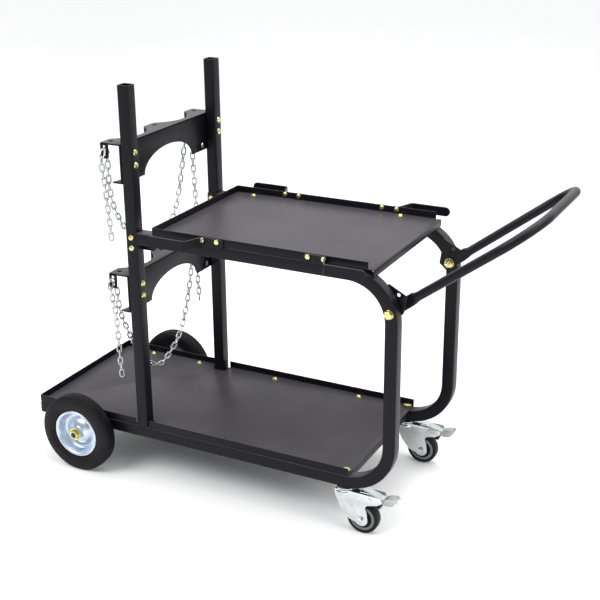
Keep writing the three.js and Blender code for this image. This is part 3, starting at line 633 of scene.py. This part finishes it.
def rail_bolts():
    """Coach bolts through the posts and the upper rails' end lugs."""
    for i, z in enumerate(RAIL_BOLT_HEIGHTS):
        for side, sign in SIDES.items():
            shell = Shell()
            out = (0, sign, 0)
            dome_head(shell, (POST_MID, sign * HALF_WIDTH, z), out)
            inner = sign * (INNER_FACE - PLATE - 0.6)
            hex_head(shell, (POST_MID, inner, z), (0, -sign, 0), 6.5)
            stud_end(shell, (POST_MID, inner - sign * 6.4, z), (0, -sign, 0), 3)
            shell.make(f"joint_bolt_{i + 1}_{side}", GOLD, "cart_frame",
                       [f"rail_bolt_{i + 1}_{side}"], smooth=30)


def tray_bolts():
    """Low heads on both tray floors."""
    for tier, places in TRAY_SCREWS.items():
        floor = TRAY_BASES[tier] + SHEET
        for n, x in enumerate(places):
            for side, sign in SIDES.items():
                shell = Shell()
                washer(shell, (x, sign * TUBE_Y, floor), (0, 0, 1), 8.2, 1.2)
                shell.stack((x, sign * TUBE_Y, floor + 1.1), (0, 0, 1), [
                    (0, 6.2), (1.6, 6.0), (3.0, 4.8), (3.7, 2.6), (3.9, 0.6)], 24)
                shell.make(f"tray_screw_{tier}_{n + 1}_{side}", GOLD, "cart_frame",
                           smooth=45)


# ------------------------------------------------------------------ cable hooks

def cable_hooks():
    """Flat bars bolted to the upper tray's lips, each with a jog and an arm along the side."""
    for place, (jog, forward, bolts) in HOOKS.items():
        for side, sign in SIDES.items():
            shell = Shell()
            inner = sign * (HALF_WIDTH + HOOK_GAP)
            outer = inner + sign * HOOK_JOG
            corners = [(jog - forward * HOOK_REAR_LENGTH, inner), (jog - forward * HOOK_SLANT, inner),
                       (jog, outer), (jog + forward * HOOK_ARM, outer)]
            path = fillet([Vector((x, y, HOOK_Z)) for x, y in corners], HOOK_BEND, 8)
            bar(shell, path, HOOK_HEIGHT / 2, HOOK_THICK / 2)
            shell.make(f"hook_bar_{place}_{side}", COAT, "cart_frame",
                       [f"cable_hook_{place}_{side}"], smooth=40)
            for n, x in enumerate(bolts):
                pin = Shell()
                out = (0, sign, 0)
                hex_head(pin, (x, inner + sign * HOOK_THICK / 2, HOOK_BOLT_Z), out, 4.2, 6.4)
                dome_head(pin, (x, sign * (HALF_WIDTH - SHEET), HOOK_BOLT_Z), (0, -sign, 0), 6.6, 4.4)
                pin.make(f"hook_bolt_{place}_{n + 1}_{side}", GOLD, "cart_frame",
                         smooth=30)


def bar(shell, path, half_height, half_thick):
    """Flat bar along a level path, with both ends rounded and its edges softened."""
    length = [0.0]
    for a, b in zip(path, path[1:]):
        length.append(length[-1] + (b - a).length)
    total = length[-1]
    ends = [half_height * (1 - math.cos(math.radians(10 * i))) for i in range(10)]
    wanted = sorted({*ends, *[total - e for e in ends], *length})
    soft = 0.8
    rings = []
    for reach in wanted:
        i = max(k for k in range(len(length)) if length[k] <= reach + 1e-6)
        i = min(i, len(path) - 2)
        way = (path[i + 1] - path[i]).normalized()
        point = path[i] + way * (reach - length[i])
        inset = half_height - min(reach, total - reach, half_height)
        high = max(math.sqrt(max(half_height ** 2 - inset ** 2, 0)), 0.6)
        side = way.cross(Vector((0, 0, 1))).normalized()
        edge = min(soft, high / 2)
        section = [(half_thick, high - edge), (half_thick - edge, high),
                   (edge - half_thick, high), (-half_thick, high - edge),
                   (-half_thick, edge - high), (edge - half_thick, -high),
                   (half_thick - edge, -high), (half_thick, edge - high)]
        rings.append([point + side * a + Vector((0, 0, b)) for a, b in section])
    shell.skin(rings)


# ------------------------------------------------------------------ rear wheels

def rear_wheels():
    """Ribbed tyres on dished zinc rims with painted shade on their inboard side, and the axle and its
    nuts.
    """
    centre = (WHEEL_X, 0, WHEEL_R)
    for side, sign in SIDES.items():
        tyre = Shell()
        tyre.turned(centre, [(r, sign * y) for r, y in tyre_section()], 120)
        tyre.make(f"tyre_{side}", TYRE, f"rear_wheel_{side}", [f"rear_tyre_{side}"])
        rim = Shell()
        rim.turned(centre, [(r, sign * y) for r, y in rim_section()], 96)
        disc = rim.make(f"rim_{side}", RIM_ZINC, f"rear_wheel_{side}",
                        [f"rear_rim_{side}"], smooth=50)
        # Painted shade: faces turned inboard take the dark copy of the rim zinc.
        disc.data.materials.append(RIM_SHADE)
        for face in disc.data.polygons:
            if face.normal.y * sign < -0.1:
                face.material_index = 1
        nut = Shell()
        out = (0, sign, 0)
        nut.stack((WHEEL_X, sign * HUB_FACE, WHEEL_R), out, [
            (0, 16.5), (0.5, 17.2), (1.7, 17.2), (2.2, 16.5)], 32)
        hex_head(nut, (WHEEL_X, sign * (HUB_FACE + 2.2), WHEEL_R), out, 6.4, 13.2)
        nut.make(f"wheel_nut_{side}", GOLD, "cart_frame", [f"axle_nut_{side}"],
                 smooth=30)
    axle = Shell()
    axle.stack((WHEEL_X, -248, WHEEL_R), (0, 1, 0), [(0, AXLE_R), (496, AXLE_R)], 32)
    for sign in (-1, 1):
        stud_end(axle, (WHEEL_X, sign * 248, WHEEL_R), (0, sign, 0), 11.4, 7.6)
    axle.make("axle_rod", DARK_STEEL, "cart_frame", ["rear_axle"])


def tyre_section():
    """The tyre's section in (radius, |y|): beads, side walls and a ribbed tread."""
    outer, inner = TYRE_OUTER, TYRE_INNER
    tread = []
    for groove in (246.5, 238.2, 229.8, 221.5):
        crown = WHEEL_R - 1.6 * ((groove - (outer + inner) / 2) / 15) ** 2
        half, depth = 1.3, 2.8
        tread += [(crown, groove + half), (crown - depth, groove + half * 0.5),
                  (crown - depth, groove - half * 0.5), (crown, groove - half)]
    return [
        (63.8, outer - 6), (65.5, outer - 2.6), (69, outer - 1.6), (75, outer - 1.2),
        (76, outer - 0.4), (84, outer), (91, outer - 0.3), (93, outer - 1.2), (94, outer - 1.2),
        (97.2, outer - 2.2), (99.4, outer - 4), *tread,
        (99.4, inner + 4), (97.2, inner + 2.2), (91, inner + 0.3), (84, inner), (75, inner + 1.2),
        (65.5, inner + 2.6), (63.8, inner + 6)]


def rim_section():
    """The pressed rim in (radius, |y|): rolled bead, deep dish and hub tube."""
    return [
        (8.3, 250), (14.5, 250), (15.5, 249.2), (15.5, 241), (17.5, 238.6), (25, 237.4),
        (31, 233), (36, 227.5), (41, 225.2), (46, 225.4), (49.5, 229), (51.5, 236), (53, 243.5),
        (55.2, 248.4), (58.2, 250.8), (61.2, 250.4), (63.5, 247.8), (63.5, 221), (61.5, 219),
        (59.5, 219), (58.5, 221), (53.5, 226), (49, 222.6), (44, 221.6), (39, 222.2),
        (34, 225), (29, 230.4), (24, 234), (17, 235.4), (15.5, 234), (15.5, 211.2), (8.3, 211.2)]


def axle_brackets():
    """A folded saddle under each rail, with a bored cheek on either side of it."""
    rear, front = WHEEL_X - SADDLE_HALF, WHEEL_X + SADDLE_HALF
    for side, sign in SIDES.items():
        shell = Shell()
        mid_y = sign * TUBE_Y
        shell.block(rear, front, mid_y - 14, mid_y + 14, 110.7, 112.7)
        for y in (mid_y - 12, mid_y + 12):
            cheek = [(rear, 112.5), (rear, 98), (WHEEL_X - 16, 86),
                     (WHEEL_X + 16, 86), (front, 98), (front, 112.5)]
            shell.plate(cheek, PLATE, (0, y, 0), (1, 0, 0), (0, 0, 1),
                        [circle(WHEEL_X, WHEEL_R, 8.3)])
        shell.make(f"axle_saddle_{side}", COAT, "cart_frame", [f"axle_bracket_{side}"])


# ------------------------------------------------------------------ casters

def casters():
    """Both casters: stem, swivel plate and nut on the rail, then fork, wheel and brake."""
    for side, sign in SIDES.items():
        y = sign * TUBE_Y
        stem = Shell()
        stem.stack((CASTER_X, y, 108.8), (0, 0, 1), [
            (0, 18), (0.4, 21.4), (1.2, 22.2), (2.6, 22.2), (3.4, 20.6), (3.9, 18)], 40)
        stem.stack((CASTER_X, y, 111), (0, 0, 1), [(0, 6), (38, 6)], 24)
        stem.make(f"stem_{side}", ZINC, "cart_frame", [f"caster_stem_{side}"])
        nut = Shell()
        hex_head(nut, (CASTER_X, y, 145.8), (0, 0, 1), 7.6, 10.6)
        nut.make(f"stem_nut_{side}", GOLD, "cart_frame", [f"caster_nut_{side}"],
                 smooth=30)
        caster_fork(side, y)
        caster_wheel(side, y)
        brake(side, y)


def caster_fork(side, y):
    """Two shaped cheeks, the crown plate over them, the swivel cup and the wheel's bolt."""
    shell = Shell()
    axle_x = CASTER_X + CASTER_TRAIL
    cheek = [
        (CASTER_X - 21, 106), (CASTER_X - 22, 99), (CASTER_X - 19, 88), (CASTER_X - 8, 62),
        (CASTER_X + 13, 36), *arc(axle_x, CASTER_R, 17, 216, 351, 10), (CASTER_X + 61, 56),
        *arc(CASTER_X + 66, 71, 9.5, 215, 110, 6), (CASTER_X + 86, 86),
        *arc(CASTER_X + 92, 97, 6, 290, 380, 4), (CASTER_X + 94, 107), (CASTER_X + 60, 107)]
    for offset in (-CHEEK_Y, CHEEK_Y):
        shell.plate(cheek, 3, (0, y + offset, 0), (1, 0, 0), (0, 0, 1),
                    [circle(axle_x, CASTER_R, 4.2), circle(CASTER_X + PEDAL_REACH, PEDAL_Z, 3.2)], 0.7)
    crown = [*arc(CASTER_X, y, 22, 128, 232, 12), (CASTER_X + 60, y - 17.6), (CASTER_X + 60, y + 17.6)]
    shell.plate(crown, 3, (0, 0, 106.3), (1, 0, 0), (0, 1, 0), edge=0.8)
    shell.stack((CASTER_X, y, 95), (0, 0, 1), [
        (0, 19), (0.6, 22.4), (2, 24.6), (4.4, 25.6), (7.2, 25.2), (8.6, 23), (9.2, 21), (11, 20.6),
        (12, 18.6), (13.2, 18)], 44)
    shell.make(f"fork_{side}", ZINC, f"caster_{side}", [f"caster_fork_{side}"])
    pin = Shell()
    for sign in (-1, 1):
        start = (axle_x, y + sign * 18, CASTER_R)
        washer(pin, start, (0, sign, 0), 7, 1)
        hex_head(pin, (axle_x, y + sign * 19, CASTER_R), (0, sign, 0), 3.6, 5.8)
    pin.stack((axle_x, y - 18.4, CASTER_R), (0, 1, 0), [(0, 4), (36.8, 4)], 20)
    pin.make(f"wheel_pin_{side}", ZINC, f"caster_{side}", [f"caster_axle_{side}"])


def caster_wheel(side, y):
    """Black tread on a grey ring, around a dished core with its bore."""
    centre = (CASTER_X + CASTER_TRAIL, y, CASTER_R)
    tread = Shell()
    tread.turned(centre, [
        (31.3, 11.5), (33, 12.2), (35.5, 12.3), (37.8, 11.2), (39.1, 8.6), (39.6, 4.5), (39.6, -4.5),
        (39.1, -8.6), (37.8, -11.2), (35.5, -12.3), (33, -12.2), (31.3, -11.5)], 72)
    body = f"caster_wheel_{side}"
    tread.make(f"tread_{side}", TREAD, body, [f"caster_tread_{side}"], smooth=50)
    core = Shell()
    half = [(4.3, 14.3), (9.5, 14.3), (10.5, 13.5), (11, 7), (17, 5.6), (22, 6.4), (24, 11.2)]
    core.turned(centre, half + [(24, 0), (4.3, 0)], 60)
    core.turned(centre, [(r, -w) for r, w in half] + [(24, 0), (4.3, 0)], 60)
    core.make(f"wheel_core_{side}", CORE, body, [f"caster_core_{side}"], smooth=40)
    ring = Shell()
    ring.turned(centre, [
        (24.1, 11.3), (25, 12.2), (27.2, 12.2), (27.8, 11.2), (31.1, 10.8), (31.1, -10.8),
        (27.8, -11.2), (27.2, -12.2), (25, -12.2), (24.1, -11.3)], 60)
    ring.make(f"wheel_ring_{side}", RING, body, smooth=40)


def brake(side, y):
    """Toe lever: stamped channel, turned-up toe with side skirts, rubber shoe and its pin."""
    px, pz = CASTER_X + PEDAL_REACH, PEDAL_Z
    shell = Shell()
    spine = fillet([Vector((px - 26, y, pz + 11.5)), Vector((px - 2, y, pz + 12)),
                    Vector((px + 24, y, pz + 5)), Vector((px + 34, y, pz + 4))], 14, 5)
    shell.swept(spine, [(1.2, -11), (1.2, 11), (-1.2, 11), (-1.2, -11)], (0, 1, 0))
    for offset in (-10.6, 10.6):
        web = rounded([(px - 25, pz + 12), (px - 12, pz - 4), (px + 8, pz - 10), (px + 26, pz - 7),
                       (px + 34, pz + 4), (px + 22, pz + 6), (px - 2, pz + 12.6)], 2)
        shell.plate(web, 2, (0, y + offset, 0), (1, 0, 0), (0, 0, 1))
    shell.stack((px, y - 19.2, pz), (0, 1, 0), [
        (0, 3.4), (0.5, 4.4), (1.2, 4.4), (1.3, 3.0),
        (37.1, 3.0), (37.2, 4.4), (38, 4.4), (38.4, 3.4)], 20)
    shell.make(f"toe_lever_{side}", ZINC, f"brake_{side}", [f"brake_pedal_{side}"],
               edge=0.5)
    toe = Shell()
    skirt = rounded([(px + 29, pz - 6), (px + 40, pz - 9.5), (px + 56, pz - 6), (px + 65, pz + 7.5),
                     (px + 60, pz + 12.6), (px + 46, pz + 10.6), (px + 31, pz + 3)], 4, 4)
    for offset in (-10.2, 10.2):
        toe.plate(skirt, 1.8, (0, y + offset, 0), (1, 0, 0), (0, 0, 1), edge=0.6)
    tread = fillet([Vector((px + 28, y, pz + 2)), Vector((px + 45, y, pz + 9.4)),
                    Vector((px + 61, y, pz + 11.6))], 9, 6)
    toe.swept(tread, [(0.9, -11), (0.9, 11), (-0.9, 11), (-0.9, -11)], (0, 1, 0))
    toe.make(f"toe_tab_{side}", PEDAL_ZINC, f"brake_{side}", edge=0.4)
    shoe = Shell()
    path = [Vector((px + 19, y, pz - 22.2)), Vector((px + 20, y, pz - 6))]
    shoe.swept(path, [(6, -9.4), (6, 9.4), (-5, 9.4), (-5, -9.4)], (0, 1, 0))
    shoe.make(f"brake_shoe_{side}", TREAD, f"brake_{side}", edge=1.6)


# ------------------------------------------------------------------ handle

RISE = math.radians(37)
ALONG = Vector((math.cos(RISE), 0, math.sin(RISE)))
LIFT = Vector((-math.sin(RISE), 0, math.cos(RISE)))
HANDLE_FOOT = Vector((1003, 0, 576.3))
HANDLE_REACH = 360
HANDLE_R = 10.5
FOOT_Y = 163.7
TOP_Y = 190
FLAT_FULL, FLAT_END = 14, 42


def handle():
    """A bent tube whose legs spread towards the crossbar and are pressed flat at the foot."""
    def spot(reach, y):
        return HANDLE_FOOT + ALONG * reach + Vector((0, y, 0))

    def leg(reach):
        spread_share = max(reach - FLAT_FULL, 0) / (HANDLE_REACH - FLAT_FULL)
        return spot(reach, FOOT_Y + (TOP_Y - FOOT_Y) * spread_share)

    near = [0, 7, FLAT_FULL, 19, 24, 28, 32, 37, FLAT_END, 120, 200]
    top = fillet([leg(200), leg(HANDLE_REACH), spot(HANDLE_REACH, 0)], 91, 20)
    half = [leg(reach) for reach in near[:-1]] + top[:-1]
    path = [Vector((p.x, -p.y, p.z)) for p in half] + [spot(HANDLE_REACH, 0)] + half[::-1]
    outer, inner = [], []
    for i, middle in enumerate(path):
        way = (path[min(i + 1, len(path) - 1)] - path[max(i - 1, 0)]).normalized()
        run = (middle - HANDLE_FOOT).dot(ALONG)
        flat = min(max((FLAT_END - run) / (FLAT_END - FLAT_FULL), 0), 1)
        flat = flat * flat * (3 - 2 * flat)
        side = Vector((0, -math.copysign(1, middle.y), 0))
        normal = LIFT.cross(way).normalized().lerp(side, flat).normalized()
        lift = LIFT.lerp(Vector((0, 0, 1)), flat).normalized()
        power = 1 - 0.5 * flat
        for rings, inset in ((outer, 0), (inner, 1.6)):
            tall = HANDLE_R * (1 + 0.62 * flat) - inset
            thin = HANDLE_R * (1 - 0.58 * flat) - inset
            ring = []
            for k in range(28):
                a = 2 * math.pi * k / 28
                u = math.copysign(abs(math.cos(a)) ** power, math.cos(a)) * tall
                v = math.copysign(abs(math.sin(a)) ** power, math.sin(a)) * thin
                ring.append(middle + lift * u + normal * v)
            rings.append(ring)
    shell = Shell()
    count = len(outer[0])
    first = len(shell.corners)
    shell.skin(outer, caps=False)
    second = len(shell.corners)
    shell.skin(inner, caps=False)
    for start in (0, (len(path) - 1) * count):
        for j in range(count):
            k = (j + 1) % count
            shell.faces.append((first + start + j, first + start + k,
                                second + start + k, second + start + j))
    shell.make("push_handle", COAT, "handle", ["handle_tube"], smooth=40)


def handle_plates():
    """The two plates that carry the handle, with their pivot bolts and nuts."""
    px, pz = PIVOT
    for side, sign in SIDES.items():
        plate = Shell()
        outline = rounded(HANDLE_PLATE, 3)
        plate.plate(outline, PLATE, (0, sign * (INNER_FACE - 2.3), 0), (1, 0, 0), (0, 0, 1),
                    [circle(px, pz, 6.3), circle(*HANDLE_LOCK, 4.3)], 0.6)
        plate.make(f"pivot_plate_{side}", COAT, "handle", [f"handle_plate_{side}"])
        out = (0, sign, 0)
        bolt = Shell()
        washer(bolt, (px, sign * HALF_WIDTH, pz), out, 10.9, 1)
        hex_head(bolt, (px, sign * (HALF_WIDTH + 1), pz), out, 6.8, 10.2)
        bolt.stack((px, sign * (HALF_WIDTH - 1), pz), (0, -sign, 0), [(0, 6), (38, 6)], 24)
        stud_end(bolt, (px, sign * 165, pz), (0, -sign, 0), 12.5, 6)
        bolt.make(f"handle_bolt_{side}", GOLD, "cart_frame", [f"pivot_bolt_{side}"],
                  smooth=30)
        nut = Shell()
        face = sign * (INNER_FACE - PLATE - 0.6)
        washer(nut, (px, face, pz), (0, -sign, 0), 12, 1.6)
        hex_head(nut, (px, face - sign * 1.6, pz), (0, -sign, 0), 9.6, 10.4)
        nut.make(f"handle_nut_{side}", GOLD, "cart_frame", [f"pivot_nut_{side}"],
                 smooth=30)


def rounded(corners, radius, steps=3):
    """A closed outline with each corner rounded."""
    points = []
    count = len(corners)
    for i, here in enumerate(corners):
        here = Vector(here)
        into = (Vector(corners[i - 1]) - here).normalized()
        out = (Vector(corners[(i + 1) % count]) - here).normalized()
        a, b = here + into * radius, here + out * radius
        for step in range(steps + 1):
            t = step / steps
            point = a * (1 - t) ** 2 + here * 2 * t * (1 - t) + b * t * t
            points.append((point.x, point.y))
    return points


# ------------------------------------------------------------------ chains

CHAIN_ROUTES = {
    "upper": [
        (-197, 626), (-200, 675), (-204, 715), (-207, 752), (-213, 788), (-216, 815),
        (-211, 838), (-202, 847), (-193, 838), (-192, 797), (-191, 754), (-180, 708),
        (-160, 670), (-136, 636), (-104, 603), (-66, 575), (-22, 562), (30, 573), (75, 612),
        (107, 670), (128, 735), (145, 795), (156, 836), (165, 846), (173.5, 837), (176, 800),
        (179, 740), (183, 670), (186, 602),
    ],
    "lower": [
        (-190, 264), (-193, 305), (-196, 361), (-198, 420), (-203, 455), (-211, 488),
        (-212.5, 512), (-203.5, 524.5), (-193, 513), (-188, 490), (-186, 462), (-179, 430),
        (-162, 391), (-143, 352), (-118, 310), (-80, 262), (-22, 230), (38, 248), (82, 284),
        (113, 334), (138, 400), (152, 460), (156, 514), (165, 524), (173.5, 515), (176, 480),
        (180, 415), (184, 346),
    ],
}
LINK_PITCH = 17.4
LINK_WIRE = 2.0
LINK_BEND = 5.0


def smooth_route(points, steps=12):
    """A Catmull-Rom curve through the route's points."""
    points = [Vector((CHAIN_X, y, z)) for y, z in points]
    padded = [points[0], *points, points[-1]]
    route = []
    for a, b, c, d in zip(padded, padded[1:], padded[2:], padded[3:]):
        for i in range(steps):
            t = i / steps
            route.append(0.5 * (2 * b + (c - a) * t + (2 * a - 5 * b + 4 * c - d) * t * t
                                + (3 * b - 3 * c + d - a) * t ** 3))
    return [*route, points[-1]]


def spaced(route, pitch):
    """Places along a route at an even pitch, each with its direction."""
    places = []
    travelled, wanted = 0.0, pitch / 2
    for a, b in zip(route, route[1:]):
        step = (b - a).length
        while step and travelled + step >= wanted:
            places.append((a.lerp(b, (wanted - travelled) / step), (b - a).normalized()))
            wanted += pitch
        travelled += step
    return places


def chain_link(shell, centre, along, across):
    """One welded link: two straight sides and two round ends of round wire."""
    straight = (LINK_PITCH + 2 * LINK_WIRE) / 2 - LINK_BEND
    path = [(straight + x, y) for x, y in arc(0, 0, LINK_BEND, -90, 90, 7)]
    path += [(x - straight, y) for x, y in arc(0, 0, LINK_BEND, 90, 270, 7)]
    normal = along.cross(across)
    rings = []
    for i, (u, v) in enumerate(path):
        ahead, behind = path[(i + 1) % len(path)], path[i - 1]
        way = along * (ahead[0] - behind[0]) + across * (ahead[1] - behind[1])
        side = way.normalized().cross(normal)
        point = centre + along * u + across * v
        rings.append([
            point + (side * math.cos(a) + normal * math.sin(a)) * LINK_WIRE
            for a in (math.pi * k / 4 for k in range(8))])
    shell.skin(rings, closed=True)


def chains():
    """Each chain's links, laid at an even pitch and turned a quarter from one to the next."""
    for tier, points in CHAIN_ROUTES.items():
        shell = Shell()
        for n, (place, along) in enumerate(spaced(smooth_route(points), LINK_PITCH)):
            flat = Vector((1, 0, 0))
            edge = along.cross(flat).normalized()
            tilt = math.radians(45 + 90 * (n % 2) + 9 * math.sin(n * 1.7))
            chain_link(shell, place, along, flat * math.cos(tilt) + edge * math.sin(tilt))
        shell.make(f"chain_links_{tier}", CHAIN_ZINC, "cart_frame",
                   [f"bottle_chain_{tier}"], smooth=60)


# ------------------------------------------------------------------ studio

def studio():
    """Pale floor, a surround that brightens overhead and to the far side, and three softboxes."""
    floor_mesh = bpy.data.meshes.new("studio_floor")
    reach = 60.0
    floor_mesh.from_pydata(
        [(-reach, -reach, 0), (reach, -reach, 0), (reach, reach, 0), (-reach, reach, 0)],
        [], [(0, 1, 2, 3)])
    floor = bpy.data.objects.new("studio_floor", floor_mesh)
    bpy.context.scene.collection.objects.link(floor)
    material, nodes, links, shader = new_material("pale_floor")
    tone = noise(nodes, links, 0.4, 2)
    links.new(ramp(nodes, links, tone, [(0.3, (0.93, 0.93, 0.93)), (0.7, (0.96, 0.96, 0.96))]),
              shader.inputs["Base Color"])
    shader.inputs["Roughness"].default_value = 0.9
    floor_mesh.materials.append(material)

    world = bpy.data.worlds.new("studio")
    world.use_nodes = True
    nodes, links = world.node_tree.nodes, world.node_tree.links
    direction = nodes.new("ShaderNodeTexCoord")
    split = nodes.new("ShaderNodeSeparateXYZ")
    links.new(direction.outputs["Generated"], split.inputs["Vector"])
    tent = nodes.new("ShaderNodeMath")
    tent.operation = "MULTIPLY_ADD"
    links.new(split.outputs["Y"], tent.inputs[0])
    tent.inputs[1].default_value = 0.45
    links.new(split.outputs["Z"], tent.inputs[2])
    sky = ramp(nodes, links, tent.outputs["Value"], [
        (0.0, (0.30, 0.31, 0.33)), (0.16, (0.34, 0.35, 0.37)), (0.34, (0.62, 0.63, 0.65)),
        (0.62, (1, 1, 1))])
    links.new(sky, nodes["Background"].inputs["Color"])
    nodes["Background"].inputs["Strength"].default_value = 1.15
    bpy.context.scene.world = world
    bpy.context.scene.view_settings.view_transform = "Standard"

    def softbox(name, place, target, size, power):
        data = bpy.data.lights.new(name, "AREA")
        data.shape = "RECTANGLE"
        data.size, data.size_y = size
        data.energy = power
        lamp = bpy.data.objects.new(name, data)
        lamp.location = place
        lamp.rotation_euler = (Vector(target) - Vector(place)).to_track_quat("-Z", "Y").to_euler()
        bpy.context.scene.collection.objects.link(lamp)

    softbox("key", (-1.6, -2.6, 3.2), (0, 0, 0.4), (2.4, 1.8), 90)
    softbox("fill", (3.4, -0.8, 2.0), (0.2, 0, 0.4), (1.6, 2.2), 45)
    softbox("top", (0.2, 0.6, 3.4), (0, 0, 0.3), (2.6, 1.6), 60)


def camera():
    """One camera looking down at the near front corner."""
    data = bpy.data.cameras.new("camera")
    data.sensor_width = 36
    data.lens = 71.3
    data.shift_x = 0.011
    data.shift_y = -0.0143
    view = bpy.data.objects.new("camera", data)
    azimuth, elevation, roll = (math.radians(a) for a in (27.5, 20.9, -0.6))
    back = Vector((math.sin(azimuth) * math.cos(elevation),
                   -math.cos(azimuth) * math.cos(elevation), math.sin(elevation)))
    right = Vector((math.cos(azimuth), math.sin(azimuth), 0))
    up = back.cross(right)
    turned_right = right * math.cos(roll) + up * math.sin(roll)
    turned_up = back.cross(turned_right)
    place = at(1895, -2396, 1522)
    view.matrix_world = Matrix((
        (turned_right.x, turned_up.x, back.x, place.x),
        (turned_right.y, turned_up.y, back.y, place.y),
        (turned_right.z, turned_up.z, back.z, place.z),
        (0, 0, 0, 1)))
    bpy.context.scene.collection.objects.link(view)
    bpy.context.scene.camera = view


camera()
studio()
side_frames()
posts()
tray("deck_lower", "lower_tray", 1, 890.5, 890.5, TRAY_BASES["lower"], notch=(302, 342))
front_hem("deck_lower_hem", 891, TRAY_BASES["lower"], 14, INNER_FACE - 1.5)
tray("deck_upper", "upper_tray", 382, 947, 934, TRAY_BASES["upper"], hem=15)
for tier_name, tier_top in BRACKET_TOPS.items():
    bracket(tier_name, tier_top)
    bracket_bolts(tier_name, tier_top)
rail_bolts()
tray_bolts()
cable_hooks()
rear_wheels()
axle_brackets()
casters()
handle()
handle_plates()
chains()
